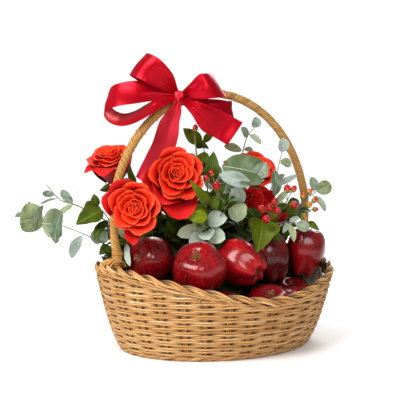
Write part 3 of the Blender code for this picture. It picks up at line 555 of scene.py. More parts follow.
STEPS = 352
fine = [2 * math.pi * i / STEPS for i in range(STEPS + 1)]
lengths = [0.0]
for a, b in zip(fine, fine[1:]):
    lengths.append(lengths[-1] + (wall_at(b, 50, 0) - wall_at(a, 50, 0)).length)
stake_place = [STAKES * length / lengths[-1] for length in lengths]
print("round the wall:", round(lengths[-1]), "mm, stakes", round(lengths[-1] / STAKES, 1), "mm apart")

# %% Weave the wall
wall = Skins()
rod_count = int((RIM_LEFT - 4) / ROD_PITCH)
for n in range(rod_count):
    height = ROD_PITCH * (n + 0.5)
    row = n // ROW_RODS
    apart = -PAIR_SPREAD if n % ROW_RODS == 0 else PAIR_SPREAD
    wobble, phase, fat = draw.uniform(0.1, 0.3), draw.uniform(0, 6.28), draw.uniform(0.94, 1.06)
    line, tones, runs = [], [], []
    for i in range(STEPS):
        angle = fine[i]
        top = rim_centre(angle).z - RIM_TALL * 0.2
        side_of_stake = math.cos(math.pi * (stake_place[i] + row))      # 1 in front, -1 behind
        beat = 0.5 - 0.5 * side_of_stake
        dip = beat ** 5
        swing = WEAVE_SWING * (1.0 - 2.0 * dip) * (0.86 + 0.14 * side_of_stake)
        level = (height + wobble * math.sin(5 * angle + phase) + apart * (1 - beat) ** 2
                 + 0.2 * math.sin(2 * math.pi * stake_place[i] + n))
        if height < top:
            line.append(wall_at(angle, max(level, 1.7), WEAVE_MIDDLE - swing))
            # a rod is painted darker where it dips behind a stake: painted shade
            tones.append(1.0 - 0.95 * min(1.0, 1.3 * dip + 0.12 * beat))
        else:
            if len(line) > 3:
                runs.append((line, tones))
            line, tones = [], []
    whole = len(line) == STEPS
    if len(line) > 3:
        runs.append((line, tones))
    for line, tones in runs:
        wall.rod(line, ROD_RADIUS * fat, n * 1.7, tones, sides=5, loop=whole)
print(rod_count, "rods,", len(wall.faces), "faces")

# %% Stand the stakes in it
for n in range(STAKES):
    at = next(i for i in range(STEPS) if stake_place[i + 1] > n)
    for stick in range(-(STICKS // 2), STICKS // 2 + 1):
        angle = fine[at] + stick * STICK_PITCH / RIM_HALF_LENGTH
        top = rim_centre(angle).z - RIM_TALL * 0.7
        line = [wall_at(angle, 1.5 + (top - 1.5) * i / 6, WEAVE_MIDDLE + 0.3 * abs(stick)) for i in range(7)]
        tones = [STICK_PAINTED_SHADE[abs(stick)]] * len(line)
        wall.rod(line, STICK_RADIUS, 100 + STICKS * n + stick, tones, sides=5)
print("stakes added,", len(wall.faces), "faces")

# %% [markdown]
# The floor is out of sight, and it is woven as such a base is: rods laid oval after oval over
# crossing sticks. Two pairs of rods, twisted round each other, run round its edge, where the basket
# stands.

# %% Floor and foot
OVALS, OVAL_STEPS, CROSS_STICKS = 24, 80, 8
FOOT_RODS, FOOT_TWISTS = 4, 20
for n in range(OVALS):
    share = (n + 0.6) / OVALS
    line = []
    for i in range(OVAL_STEPS):
        a = 2 * math.pi * i / OVAL_STEPS
        line.append(Vector(((BASE_HALF_LENGTH - 5) * share * math.cos(a),
                            (BASE_HALF_WIDTH - 5) * share * math.sin(a),
                            4.2 + 1.2 * math.cos(16 * a + math.pi * n))))
    wall.rod(line, 2.5, 300 + n * 1.3, [0.7] * OVAL_STEPS, sides=5, loop=True)
for n in range(CROSS_STICKS):
    a = math.pi * (n + 0.5) / CROSS_STICKS
    reach = wall_at(a, 4, 9)
    line = [reach * t + Vector((0, 0, 4.2 - reach.z * t)) for t in (-1, -0.5, 0, 0.5, 1)]
    wall.rod(line, 1.6, 350 + n, [0.7] * 5, sides=6)
for strand in range(FOOT_RODS):
    line, tones = [], []
    for i in range(STEPS):
        turn = 2 * math.pi * FOOT_TWISTS * i / STEPS + math.pi * (strand // 2) + 0.75 * (strand % 2)
        line.append(wall_at(fine[i], 4.1 + 2.3 * math.sin(turn), 2.1 - 1.2 * math.cos(turn)))
        # a strand is painted darker where it twists inwards: painted shade
        tones.append(0.7 + 0.3 * math.cos(turn))
    wall.rod(line, 1.45, 370 + strand, tones, sides=6, loop=True)
keep(wall.piece("basket_weave", willow), "basket_body", slot="willow")

# %% [markdown]
# ## The braided border
#
# The stakes' ends are bent over and plaited into a thick border. Three flat bundles of four thin
# rods go over and under each other along its middle line. A plait's bundle swings from the top to
# the bottom of the border, and stands proud while it crosses over the other two. As in hand work,
# a few loose rods lie over the plait, and cut ends stand out of it.

# %% Plait the border
border = Skins()
BANDS, BAND_RODS = 3, 4
PLAIT_TURNS = 12                # swings of a bundle in one lap round the basket
LAP_STEPS = 342


def rim_out(angle):
    """Direction that points outwards, level, from the border at an angle round the basket."""
    return Vector((math.cos(angle) / RIM_HALF_LENGTH, math.sin(angle) / RIM_HALF_WIDTH, 0.0)).normalized()


for band in range(BANDS):
    for k in range(BAND_RODS):
        line, tones = [], []
        thin = draw.uniform(0.9, 1.1)
        across = (k - (BAND_RODS - 1) / 2) * 1.9
        for i in range(LAP_STEPS):
            a = 2 * math.pi * i / LAP_STEPS
            turn = 2 * math.pi * band / BANDS - PLAIT_TURNS * a
            proud = 0.5 * math.sin(2 * turn) + 0.8 * math.cos(turn)
            wander = 0.5 * math.sin(11 * a + 2.1 * k + band) + 0.35 * math.sin(23 * a + 1.7 * k)
            level = 5.7 * math.sin(turn) + across * (0.86 + 0.14 * math.cos(turn)) + wander
            reach = (3.1 * proud + 0.5 * (1 - abs(across) / 4) + 0.8 * math.cos(math.pi * level / 18)
                     + 0.45 * math.sin(17 * a + 3 * k))
            line.append(rim_centre(a) + rim_out(a) * reach + Vector((0, 0, level)))
            # a bundle is painted darker where it lies back under the others: painted shade
            tones.append(min(1.0, 0.62 + 0.48 * proud + 0.08 * (k % 2)))
        border.rod(line, 1.18 * thin, 400 + 7 * band + k * 1.9, tones, sides=6, loop=True)
print("plait:", len(border.faces), "faces")

# %% Loose rods and cut ends
LOOSE_RODS, CUT_ENDS = 11, 22
for n in range(LOOSE_RODS):
    begin, span = draw.uniform(0, 2 * math.pi), draw.uniform(0.5, 1.2)
    level, drift, line = draw.uniform(-5, 5), draw.uniform(-4, 4), []
    for i in range(33):
        a = begin + span * i / 32
        reach = 5.2 + 0.9 * math.sin(9 * a + n) - 2.5 * abs(i / 16 - 1) ** 6
        line.append(rim_centre(a) + rim_out(a) * reach + Vector((0, 0, level + drift * (i / 16 - 1))))
    border.rod(line, 0.95, 490 + n, [0.95] * 33, sides=5)
for n in range(CUT_ENDS):
    a = draw.uniform(0, 2 * math.pi)
    start = rim_centre(a) + Vector((0, 0, draw.uniform(-4, 6)))
    out = Vector((math.cos(a), math.sin(a), 0))
    sway = Vector((-out.y, out.x, 0)) * draw.uniform(-1, 1)
    way = (out * draw.uniform(0.1, 0.35) + sway + Vector((0, 0, draw.uniform(-0.9, 0.5)))).normalized()
    start = start + out * 3.9
    line = [start, start + way * 5, start + way * draw.uniform(7, 9)]
    border.rod(line, [0.9, 0.7, 0.5], 460 + n, [0.9] * 3, sides=5)
keep(border.piece("basket_border", willow), "basket_rim", slot="willow")

# %% [markdown]
# ## The handle
#
# Two legs stand inside the border and carry an arch. A dozen thin canes are wound round the arch
# side by side, so that it shows fine slanting lines, and each foot is bound with a tight coil. The
# core under the canes is painted dark, as painted shade in the gaps between them.
# Rods lash the foot to the border. Each cane follows the arch on a helix of its own. Here and there
# an end is tucked in and its tip stands out.

# %% Wind the handle
HANDLE_RADIUS, HANDLE_TOP, HANDLE_SPRING = 6.3, 364.0, 180.0
HANDLE_HALF_SPAN, HANDLE_SHIFT = 164.0, -3.0
FOOT_HALF_SPAN, FOOT_BOTTOM, BINDING_TOP, BINDING_RADIUS = 158.0, 88.0, 142.0, 8.0
CANE_COUNT, CANE_PITCH, CANE_RADIUS = 12, 25.0, 0.9
TUCKED_ENDS = 34

foot = [Vector((-FOOT_HALF_SPAN, 0, FOOT_BOTTOM)), Vector((-FOOT_HALF_SPAN, 0, BINDING_TOP - 20)),
        Vector((-FOOT_HALF_SPAN - 0.5, 0, BINDING_TOP)), Vector((-FOOT_HALF_SPAN - 3.5, 0, BINDING_TOP + 16))]
arch = []
for i in range(1, 24):
    t = math.pi * i / 24
    arch.append(Vector((HANDLE_SHIFT * math.sin(t) - HANDLE_HALF_SPAN * math.cos(t), 0,
                        HANDLE_SPRING + (HANDLE_TOP - HANDLE_SPRING) * math.sin(t))))
handle_line = smooth_route(foot + arch + [Vector((-p.x, 0, p.z)) for p in reversed(foot)], 14)
handle_run = [0.0]
for a, b in zip(handle_line, handle_line[1:]):
    handle_run.append(handle_run[-1] + (b - a).length)
print("the handle is", round(handle_run[-1]), "mm round")


def on_handle(i, turn, radius):
    """Point and normal on the handle at a station of its line and a turn round it."""
    ahead = (handle_line[min(i + 1, len(handle_line) - 1)] - handle_line[max(i - 1, 0)]).normalized()
    side = Vector((0, 1, 0))
    out = side * math.cos(turn) + ahead.cross(side) * math.sin(turn)
    return handle_line[i] + out * radius, out


handle_skin = Skins()
# the core under the canes is painted dark, as painted shade in the gaps between them
handle_skin.rod(handle_line, HANDLE_RADIUS - 1.45, 500, [0.0] * len(handle_line), sides=10)
for n in range(CANE_COUNT):
    lift = draw.uniform(-0.15, 0.1)
    line = []
    for i, run in enumerate(handle_run):
        turn = 2 * math.pi * (n / CANE_COUNT - run / CANE_PITCH)
        line.append(on_handle(i, turn, HANDLE_RADIUS - CANE_RADIUS + lift)[0])
    shade = 0.7 if n % 2 else 1.0
    handle_skin.rod(line, CANE_RADIUS, 510 + 3.3 * n, [shade] * len(line), sides=5)
for n in range(TUCKED_ENDS):
    i = int(draw.integers(30, 230))
    start, out = on_handle(i, draw.uniform(0, 2 * math.pi), HANDLE_RADIUS - 0.6)
    slant = (handle_line[i + 1] - handle_line[i]).normalized() * draw.uniform(-0.9, 0.9)
    way = (out + slant).normalized()
    line = [start, start + way * 1.3, start + way * draw.uniform(1.8, 3.2)]
    handle_skin.rod(line, [0.6, 0.55, 0.4], 560 + n, [0.9] * 3, sides=5)
print(CANE_COUNT, "canes wound,", len(handle_skin.faces), "faces")

# %% Bind its feet
# each lashing rod goes over the border, and on its way it moves along it from one y to another
LASHES = ((-5, 9), (-2.5, 12), (0, 15), (5, -10), (7.5, -7), (-9, -16), (10, 18))
# share of the way, then how far out from the foot, and how high over the border's middle
LASH_ROUTE = ((0, -9, 3), (0.2, -5, 9.5), (0.45, 6, 12.5), (0.65, 15.5, 8), (0.8, 18.2, -2),
              (0.95, 15.5, -14), (1, 12.5, -20))
for end in (-1, 1):
    coil, turns = [], 19
    for i in range(turns * 18 + 1):
        a = 2 * math.pi * i / 18
        z = BINDING_TOP + 1 - 2.4 * i / 18 + 0.5 * math.sin(0.37 * i)
        reach = BINDING_RADIUS - 1.3 + 0.25 * math.sin(0.23 * i)
        coil.append(Vector((end * FOOT_HALF_SPAN + reach * math.cos(a), reach * math.sin(a), z)))
    handle_skin.rod(coil, 1.2, 540 + end, [0.9] * len(coil), sides=6)
    top = rim_centre(math.pi if end < 0 else 0).z
    for n, (from_y, to_y) in enumerate(LASHES):
        over = []
        for t, x, z in LASH_ROUTE:
            across = end * (FOOT_HALF_SPAN + x + 0.5 * math.sin(n))
            over.append(Vector((across, from_y + (to_y - from_y) * t, top + z)))
        handle_skin.rod(smooth_route(over, 5), 1.3, 545 + end + 2.7 * n, [1.0] * 31, sides=6)
keep(handle_skin.piece("wound_handle", cane), "handle", slot="cane")

# %% [markdown]
# ## Paper liner
#
# A piece of cream paper stands against the inside of the wall at the right end. It is stiff enough
# to hold the curve of the wall, with soft creases, so it starts as a grid that is bent round and
# then given its thickness.

# %% Line the wall
bpy.ops.mesh.primitive_grid_add(x_subdivisions=56, y_subdivisions=10, size=2)
paper_liner = bpy.context.active_object
paper_liner.name = paper_liner.data.name = "paper_liner"
for point in paper_liner.data.vertices:
    u, v = point.co.x, point.co.y
    angle = math.radians(-25 + 39 * u)
    top = rim_centre(angle).z - 7.5
    crease = 0.5 * math.sin(23 * u + 2 * v) + 0.35 * math.sin(41 * u - 5 * v) + 0.3 * math.sin(9 * v + 14 * u)
    height = top * (0.45 + 0.28 * (v + 1)) + (1.2 * math.sin(17 * u) if v > 0.9 else 0.0)
    point.co = wall_at(angle, height, WALL + 4.0 + 2.5 * max(0.0, v) + crease) * MM
paper_liner.data.materials.append(paper)
thicken(paper_liner, 0.4)
keep(paper_liner, "liner", slot="paper")

# %% [markdown]
# ## The apples
#
# This is a tall apple with square shoulders and five soft knuckles round its blossom end. A sphere
# is a start: its rings are pulled to the profile of the fruit, which folds in at the stem and at the
# blossom end, and the five lobes swell along it. Each apple is a copy of that one, stretched to its
# own size and turned to where its stem points.

# %% One apple
APPLES = {                      # middle, way the stem points, diameter, height, brightness
    "apple_1": ((-88, -62, 128), (-0.66, -0.7, 0.26), 65, 63, 0.42),
    "apple_2": ((-22, -88, 117), (-0.14, -0.62, 0.77), 73, 68, 0.66),
    "apple_3": ((36, -50, 123), (-0.74, 0.5, 0.36), 64, 66, 0.78),
    "apple_4": ((80, -6, 126), (-0.22, 0.1, 0.97), 58, 70, 0.1),
    "apple_5": ((134, 22, 131), (0.16, 0.0, 1.0), 57, 68, 0.58),
    "apple_6": ((75, -62, 59), (0.05, -0.35, 0.94), 67, 62, 0.4),
    "apple_7": ((112, 12, 62), (0.0, -0.3, 0.95), 58, 58, 0.45),
    "apple_8": ((16, -86, 60), (0.3, 0.2, 0.93), 53, 54, 0.3),
}
# from the hollow of the stem to the blossom end, as shares of the radius and of half the height
APPLE_PROFILE = (
    (0.0, 0.62), (0.05, 0.66), (0.1, 0.75), (0.17, 0.85), (0.27, 0.93), (0.4, 0.972), (0.56, 0.965),
    (0.74, 0.87), (0.88, 0.67), (0.975, 0.38), (1.0, 0.1), (0.945, -0.22), (0.81, -0.54), (0.65, -0.79),
    (0.51, -0.93), (0.38, -0.98), (0.25, -0.95), (0.12, -0.86), (0.0, -0.8),
)
RINGS = 40
profile = smooth_route([Vector((r, z, 0)) for r, z in APPLE_PROFILE], 12)
runs = [0.0]
for a, b in zip(profile, profile[1:]):
    runs.append(runs[-1] + (b - a).length)
even = [runs[-1] * k / RINGS for k in range(RINGS + 1)]
ring_reach = np.interp(even, runs, [p.x for p in profile])
ring_level = np.interp(even, runs, [p.y for p in profile])

bpy.ops.mesh.primitive_uv_sphere_add(segments=50, ring_count=RINGS, radius=1)
blank_apple = bpy.context.active_object
for point in blank_apple.data.vertices:
    ring = round(math.acos(max(-1.0, min(1.0, point.co.z))) / math.pi * RINGS)
    turn = math.atan2(point.co.y, point.co.x)
    reach, level = float(ring_reach[ring]), float(ring_level[ring])
    wave = math.cos(5 * turn)
    swell = reach * (1 + (0.035 + 0.05 * max(0.0, -level)) * wave)
    point.co = (swell * math.cos(turn), swell * math.sin(turn), level - 0.05 * wave * max(0.0, -level))
print("blank apple:", len(blank_apple.data.polygons), "faces")


def facing_axes(direction):
    """Three axes at right angles, the last along a direction."""
    ahead = Vector(direction).normalized()
    side = Vector((0.0, 0.0, 1.0)).cross(ahead)
    if side.length < 0.1:
        side = Vector((1.0, 0.0, 0.0))
    side.normalize()
    return side, ahead.cross(side), ahead


# %% [markdown]
# A stalk stands in the hollow at one end, and the dry tips of the blossom are left in the other.

# %% Lay the apples
DRY_TIP = ((0.05, -0.76), (0.11, -0.86), (0.07, -0.95))    # of the blossom: out from the core, height
for number, (name, (place, stem_end, diameter, height, bright)) in enumerate(APPLES.items()):
    side, up, ahead = facing_axes(shown(stem_end))
    centre, radius, half = shown(place), diameter / 2, height / 2

    def fruit(x, y, z):
        return centre + side * (x * radius) + up * (y * radius) + ahead * (z * half)

    fruit_mesh = Skins()
    spin = 1.3 * number
    fruit_mesh.points = [tuple(fruit(*p.co) * MM) for p in blank_apple.data.vertices]
    fruit_mesh.faces = [tuple(f.vertices) for f in blank_apple.data.polygons]
    fruit_mesh.grain = [tuple(p.co) for p in blank_apple.data.vertices]
    fruit_mesh.tone = [bright] * len(fruit_mesh.points)
    fruit_mesh.slots = [0] * len(fruit_mesh.faces)
    lean = Vector((math.cos(spin), math.sin(spin), 0)) * 0.09
    stalk = [fruit(lean.x * t * t, lean.y * t * t, 0.6 + 0.42 * t) for t in (0, 0.35, 0.7, 1.0)]
    fruit_mesh.rod(stalk, [1.3, 0.9, 0.9, 1.4], 600 + number, [0.2] * 4, sides=7, slot=1)
    for k in range(5):
        a = 2 * math.pi * (k + 0.5) / 5
        dry = [fruit(r * math.cos(a), r * math.sin(a), z) for r, z in DRY_TIP]
        fruit_mesh.rod(dry, [1.2, 0.9, 0.3], 610 + k, [0.1] * 3, sides=5, slot=1)
    keep(fruit_mesh.piece("red_" + name, apple_skin, stem_bark), name, slot="apple_skin")
bpy.data.objects.remove(blank_apple)

# %% [markdown]
# ## Leaves and petals
#
# Every leaf starts as a flat grid. Its rows are narrowed one after another to the outline of that
# kind of leaf, so that a pointed one comes together at its ends. Copies of this blank are then laid
# along a midrib from the stem to the tip, folded a little along the rib and bent. A petal starts
# from the plain grid and gets its form when it is wrapped round its rose.

# %% Flat blanks


def flat_blank(outline, cells_across, cells_along):
    """Grid whose rows are narrowed to an outline. Returns its points (u, v) and faces."""
    bpy.ops.object.select_all(action="DESELECT")
    bpy.ops.mesh.primitive_grid_add(x_subdivisions=cells_across, y_subdivisions=cells_along, size=2)
    grid = bpy.context.active_object
    bpy.ops.object.mode_set(mode="EDIT")
    for k in range(cells_along + 1):
        level = -1 + 2 * k / cells_along
        work = bmesh.from_edit_mesh(grid.data)
        work.select_mode = {"VERT"}
        for point in work.verts:
            point.select = abs(point.co.y - level) < 0.01
        work.select_flush_mode()
        bmesh.update_edit_mesh(grid.data)
        share = max(0.0, float(np.interp(k / cells_along, [p for p, w in outline], [w for p, w in outline])))
        bpy.ops.transform.resize(value=(share, 1, 1))
    bpy.ops.mesh.select_all(action="SELECT")
    bpy.ops.mesh.remove_doubles(threshold=0.001)
    bpy.ops.object.mode_set(mode="OBJECT")
    points = [(p.co.x, (p.co.y + 1) / 2) for p in grid.data.vertices]
    faces = [tuple(f.vertices) for f in grid.data.polygons]
    bpy.data.objects.remove(grid)
    return points, faces


def outline(power, peak):
    """Leaf outline: widest at peak, blunter for a smaller power."""
    shift = math.log(0.5) / math.log(peak)
    shares = [k / 24 for k in range(25)]
    return [(share, math.sin(math.pi * share ** shift) ** power) for share in shares]


BLANKS = {
    "round": flat_blank(outline(0.5, 0.52), 6, 10),
    "clasping": flat_blank([(0.0, 0.62), (0.1, 0.82), (0.3, 0.97), (0.5, 1.0), (0.7, 0.93), (0.85, 0.74),
                            (0.95, 0.42), (1.0, 0.0)], 8, 12),
    "lobed": flat_blank([(0.0, 0.3), (0.07, 0.74), (0.16, 0.93), (0.27, 1.0), (0.38, 0.92), (0.5, 0.7),
                         (0.6, 0.62), (0.72, 0.52), (0.86, 0.27), (1.0, 0.0)], 8, 14),
    "narrow": flat_blank(outline(0.6, 0.5), 4, 8),
    "pointed": flat_blank(outline(0.85, 0.42), 6, 10),
}
SHEET = flat_blank([(0.0, 1.0), (1.0, 1.0)], 8, 10)
print({form: len(blank[1]) for form, blank in BLANKS.items()}, "faces in the blanks")


def lay_leaf(skins, base, tip, width, face, form, tone, number, fold=0.2, bend=0.1, curl=0.0):
    """Lay a copy of a blank from base to tip, its upper side towards face."""
    axis = tip - base
    along = axis.normalized()
    out = (face - along * face.dot(along)).normalized()
    side = out.cross(along)
    ripple = 0.026 * axis.length

    if form == "lobed":
        fold += 0.2

    def at(u, v):
        half = 0.5 * width
        rise = bend * axis.length * math.sin(math.pi * v) - curl * axis.length * v ** 3
        wave = ripple * abs(u) * math.sin(9 * v + 3 * number + (2.0 if u > 0 else 0.0))
        return base + axis * v + side * (u * half) + out * (fold * half * abs(u) ** 1.3 + rise + wave)

    skins.lay(BLANKS[form], at, tone, number % 37.0)


def along_route(route, share):
    """Point at a share of a route's points, a little short of its end."""
    length = sum((b - a).length for a, b in zip(route, route[1:]))
    place = min(share, 1.0 - 1.6 / length) * (len(route) - 1)
    i = min(int(place), len(route) - 2)
    return route[i].lerp(route[i + 1], place - i)


# %% [markdown]
# A stem's foot goes into the heap. The solid of each sprig already found its way there past the
# fruit, so its foot is where that solid comes nearest to the heap.

# %% Where stems meet the heap


def tree_of(names):
    """Search tree over the triangles of some solids, in millimetres."""
    points, faces = [], []
    for name in names:
        start = len(points)
        points += [v.co / MM for v in nodes[name].data.vertices]
        faces += [tuple(start + k for k in f.vertices) for f in nodes[name].data.polygons]
    return BVHTree.FromPolygons(points, faces)


heap = tree_of(["greenery"])


def root_of(name):
    """Foot of a stem: the middle of its solid's points that lie closest to the heap."""
    points = [v.co / MM for v in nodes[name].data.vertices]
    near = min(points, key=lambda p: heap.find_nearest(p)[3])
    close = [p for p in points if (p - near).length < 4.5]
    return sum(close, Vector()) / len(close)


print("rose_2 stands at", [round(c) for c in root_of("rose_2")])

# %% [markdown]
# ## Eucalyptus and leafy sprigs
#
# Eucalyptus has round blue-grey leaves in pairs on a thin stem, and the green sprigs have pointed
# leaves. The tables give each stem and then its leaves, as the viewer sees them: how far up the
# stem a leaf grows, its tip and its width. A leaf whose blade starts away from its stem has that
# place as a fourth item, and a fifth makes it lighter or darker, partly for its own tint and partly
# as painted light and shade. A last table holds the tone of each sprig, which is also partly its
# own shade and partly painted light and shade.

# %% Tables of sprigs
EUCALYPTUS = {
    "eucalyptus_left_low": (
        [(-137, -30, 136), (-184, -58, 164), (-226, -72, 182), (-261, -78, 194)],
        [(0.16, (-164, -44, 173), 28), (0.34, (-203, -64, 131), 17), (0.56, (-238, -84, 181), 43),
         # the two leaves that end in -0.4 are painted darker, as painted shade
         (0.56, (-213, -86, 196), 17, (-218, -88, 153), -0.4), (0.78, (-268, -88, 184), 44),
         (0.78, (-238, -86, 207), 15, (-246, -90, 170), -0.4), (1.0, (-276, -80, 191), 8),
         (0.98, (-256, -78, 211), 8)],
    ),
    "eucalyptus_left_high": (
        [(-143, -28, 173), (-191, -50, 202), (-217, -58, 212), (-236, -62, 234)],
        [(0.42, (-216, -56, 226), 13), (0.42, (-218, -62, 191), 9), (0.72, (-244, -66, 207), 4),
         (0.78, (-240, -70, 222), 9)],
    ),
    "eucalyptus_left_inner": (
        [(-118, -44, 158), (-125, -62, 152)],
        [(0.9, (-117, -97, 125), 10), (0.3, (-137, -60, 172), 10)],
    ),
    "eucalyptus_centre_low": (
        [(-16, -50, 156), (-14, -44, 180), (-17, -30, 202)],
        [(0.55, (15, -64, 187), 24), (0.5, (-30, -68, 176), 22), (0.2, (13, -62, 158), 24),
         (0.08, (-36, -66, 152), 22), (0.3, (-54, -54, 163), 20), (0.25, (-9, -74, 158), 24)],
    ),
    "eucalyptus_centre_high": (
        [(30, -20, 217), (42, -34, 236), (54, -44, 254)],
        [(0.8, (5, -68, 248), 21, (49, -56, 233), 0.5), (0.9, (10, -57, 260), 42, (66, -43, 247)),
         (1.0, (71, -50, 264), 21, (54, -44, 240), -0.1), (0.55, (2, -50, 236), 24)],
    ),
    "eucalyptus_centre_mid": (
        [(33, -22, 195), (27, -38, 210), (20, -44, 228)],
        [(0.45, (30, -62, 231), 25), (0.4, (30, -52, 181), 28), (0.9, (0, -54, 231), 15)],
    ),
    "eucalyptus_top": (
        [(33, 20, 238), (39, 26, 273), (46, 30, 300), (57, 32, 315)],
        [(0.98, (61, 28, 331), 16), (0.78, (68, 24, 292), 11), (0.66, (39, 22, 316), 13),
         (0.42, (12, 16, 288), 14), (0.45, (55, 20, 281), 9)],
    ),
    "eucalyptus_right_high": (
        [(75, 24, 208), (89, 34, 240), (99, 40, 279)],
        [(1.0, (101, 38, 300), 20), (0.85, (112, 34, 258), 16), (0.45, (103, 30, 246), 8),
         (0.3, (123, 34, 245), 9)],
    ),
    "eucalyptus_right_mid": (
        [(88, -24, 196), (84, -34, 215)],
        [(1.0, (82, -40, 254), 16), (0.6, (99, -40, 224), 10)],
    ),
    "eucalyptus_right_far": (
        [(121, 54, 190), (138, 66, 207), (155, 74, 218)],
        [(0.95, (148, 74, 241), 17), (1.0, (178, 76, 230), 22), (0.8, (171, 76, 188), 12)],
    ),
    "eucalyptus_right_low": (
        [(82, 4, 171), (102, -8, 178), (116, -10, 175)],
        [(0.55, (96, -24, 163), 8), (0.6, (112, -24, 150), 11), (1.0, (135, -14, 168), 18),
         (0.6, (120, -12, 185), 8)],
    ),
    "eucalyptus_back_middle": (
        [(0, 80, 178), (2, 100, 205), (4, 112, 230)],
        [(0.45, (-22, 122, 204), 22), (0.5, (24, 124, 210), 22), (0.8, (-18, 118, 242), 20),
         (0.85, (26, 112, 244), 18), (1.0, (4, 120, 258), 18)],
    ),
    "eucalyptus_back_left": (
        [(-104, 40, 158), (-126, 62, 180), (-136, 80, 194)],
        [(0.5, (-116, 89, 196), 20), (0.55, (-148, 58, 176), 18), (1.0, (-144, 93, 206), 18)],
    ),
}
LEAFY = {
    "leaves_left": (
        [(-140, -30, 159), (-154, -48, 189), (-165, -54, 203)],
        [(0.75, (-196, -60, 178), 36), (0.4, (-170, -62, 156), 16), (1.0, (-171, -56, 220), 14)],
    ),
    "leaves_foot": (
        [(-130, -36, 148), (-147, -52, 147)],
        [(1.0, (-162, -66, 137), 17)],
    ),
    "leaves_spear": (
        [(-109, 10, 200), (-115, 2, 232)],
        [(1.0, (-129, -4, 266), 10), (0.8, (-130, -2, 254), 9)],
    ),
    "leaves_top": (
        [(-11, -8, 202), (-13, -10, 244), (-17, -8, 282), (-19, -8, 292)],
        [(0.92, (-47, -16, 313), 20), (0.7, (-21, -26, 296), 20), (0.95, (-4, -2, 308), 12),
         (0.66, (-20, -30, 250), 20), (0.35, (-36, -26, 262), 15), (0.3, (6, -24, 256), 16)],
    ),
    "leaves_centre": (
        [(-11, -34, 173), (-8, -52, 203), (-7, -56, 231)],
        [(1.0, (-3, -54, 280), 21), (0.5, (-31, -118, 238), 15), (0.85, (2, -66, 199), 17),
         (0.5, (20, -56, 213), 22), (0.35, (-40, -72, 196), 21), (0.1, (-26, -74, 174), 20),
         (0.15, (16, -62, 186), 18), (0.7, (-24, -70, 222), 15), (0.65, (14, -62, 236), 15),
         (0.4, (-38, -84, 189), 19, (-11, -78, 191), 0.6)],
    ),
    "leaf_big": (
        [(58, -42, 178), (67, -55, 185)],
        [(0.85, (58, -73, 142), 46), (0.5, (94, -46, 150), 14), (0.3, (44, -50, 200), 22)],
    ),
    "leaf_right": (
        [(110, 46, 172), (130, 28, 174)],
        [(1.0, (152, 4, 165), 15), (0.0, (100, 26, 150), 18), (0.4, (106, 30, 196), 16)],
    ),
    "leaves_back_right": (
        [(98, 84, 168), (112, 108, 188)],
        [(1.0, (134, 134, 202), 22), (0.6, (100, 136, 208), 20), (0.7, (138, 100, 178), 18)],
    ),
    "leaves_back_low": (
        [(0, 104, 166), (4, 122, 178)],
        [(1.0, (6, 146, 186), 24), (0.5, (34, 138, 172), 20), (0.6, (-26, 138, 176), 20)],
    ),
}
# tone of a sprig, 0 dark and 1 light: partly the leaves' own shade and partly painted light and shade
SPRIG_TONE_AND_PAINTED_LIGHT = {
    "eucalyptus_left_low": 0.5, "eucalyptus_left_high": 0.45, "eucalyptus_left_inner": 0.5,
    "eucalyptus_centre_low": 1.1, "eucalyptus_centre_high": 0.22, "eucalyptus_centre_mid": 0.8,
    "eucalyptus_top": 0.6, "eucalyptus_right_high": 0.5, "eucalyptus_right_mid": 0.35,
    "eucalyptus_right_far": 0.4, "leaves_left": 0.35, "leaves_foot": 0.3, "leaves_spear": 0.5,
    "leaves_top": 0.75, "leaves_centre": 0.65, "leaf_big": 0.1, "leaf_right": 0.5,
}
leaf_count = sum(len(leaves) for stem_points, leaves in (EUCALYPTUS | LEAFY).values())
print(len(EUCALYPTUS) + len(LEAFY), "sprigs with", leaf_count, "leaves")

# %% Grow the sprigs
LEAF_THICK = 0.45
low_stems = []                  # foot and first point of each stem, for the leaves that fill the heap


def grow_sprig(name, stem_points, leaves, form, leaf_look, slot):
    """Stem from the heap through its points, with a leaf on a short stalk at each place."""
    bare = smooth_route([shown(p) for p in stem_points], 6 if len(stem_points) > 2 else 3)
    route = [root_of(name)] + bare
    stem = Skins()
    radii = [1.15 - 0.65 * i / (len(route) - 1) for i in range(len(route))]
    bark = 0.85 if form == "round" else 0.3
    stem.rod(route, radii, len(name) * 1.3, [bark] * len(route), sides=8)
    blades = Skins()
    shade = SPRIG_TONE_AND_PAINTED_LIGHT.get(name, 0.5)
    low_stems.append((route[0], bare[0]))
    for number, (share, tip, width, *extra) in enumerate(leaves):
        foot, end = along_route(bare, share), shown(tip)
        outward = Vector((end.x, end.y, 0.0)).normalized() * 0.5
        look = shown((0.0, -1.0, 0.3)) if foot.y < 60 else Vector((0.0, 1.0, 0.3))
        shape = form if width > 12 else "narrow"
        if width > 24:
            shape = {"round": "clasping", "pointed": "lobed"}[form]
        begin = shown(extra[0]) if extra else foot.lerp(end, 0.0 if width > 24 else 0.07)
        stalk = [foot, foot.lerp(end, 0.06), foot.lerp(end, 0.14)]
        stem.rod(stalk, [0.6, 0.5, 0.35], number, [bark] * 3, sides=6)
        # the fifth item is partly the leaf's own tint and partly painted light and shade
        tint_and_painted_shade = extra[1] if len(extra) > 1 else 0.0
        tone = min(1.0, max(0.0, shade + draw.uniform(-0.28, 0.28) + tint_and_painted_shade))
        lay_leaf(blades, begin, end, width, look + outward, shape, tone, number + len(name) * 3,
                 fold=draw.uniform(0.15, 0.38), bend=draw.uniform(0.03, 0.13), curl=draw.uniform(0.0, 0.12))
    sheets = thicken(blades.piece(name + "_blades", leaf_look), LEAF_THICK)
    keep(join(name + "_sprig", [sheets, stem.piece(name + "_stem", stem_bark)]), name, slot=slot)


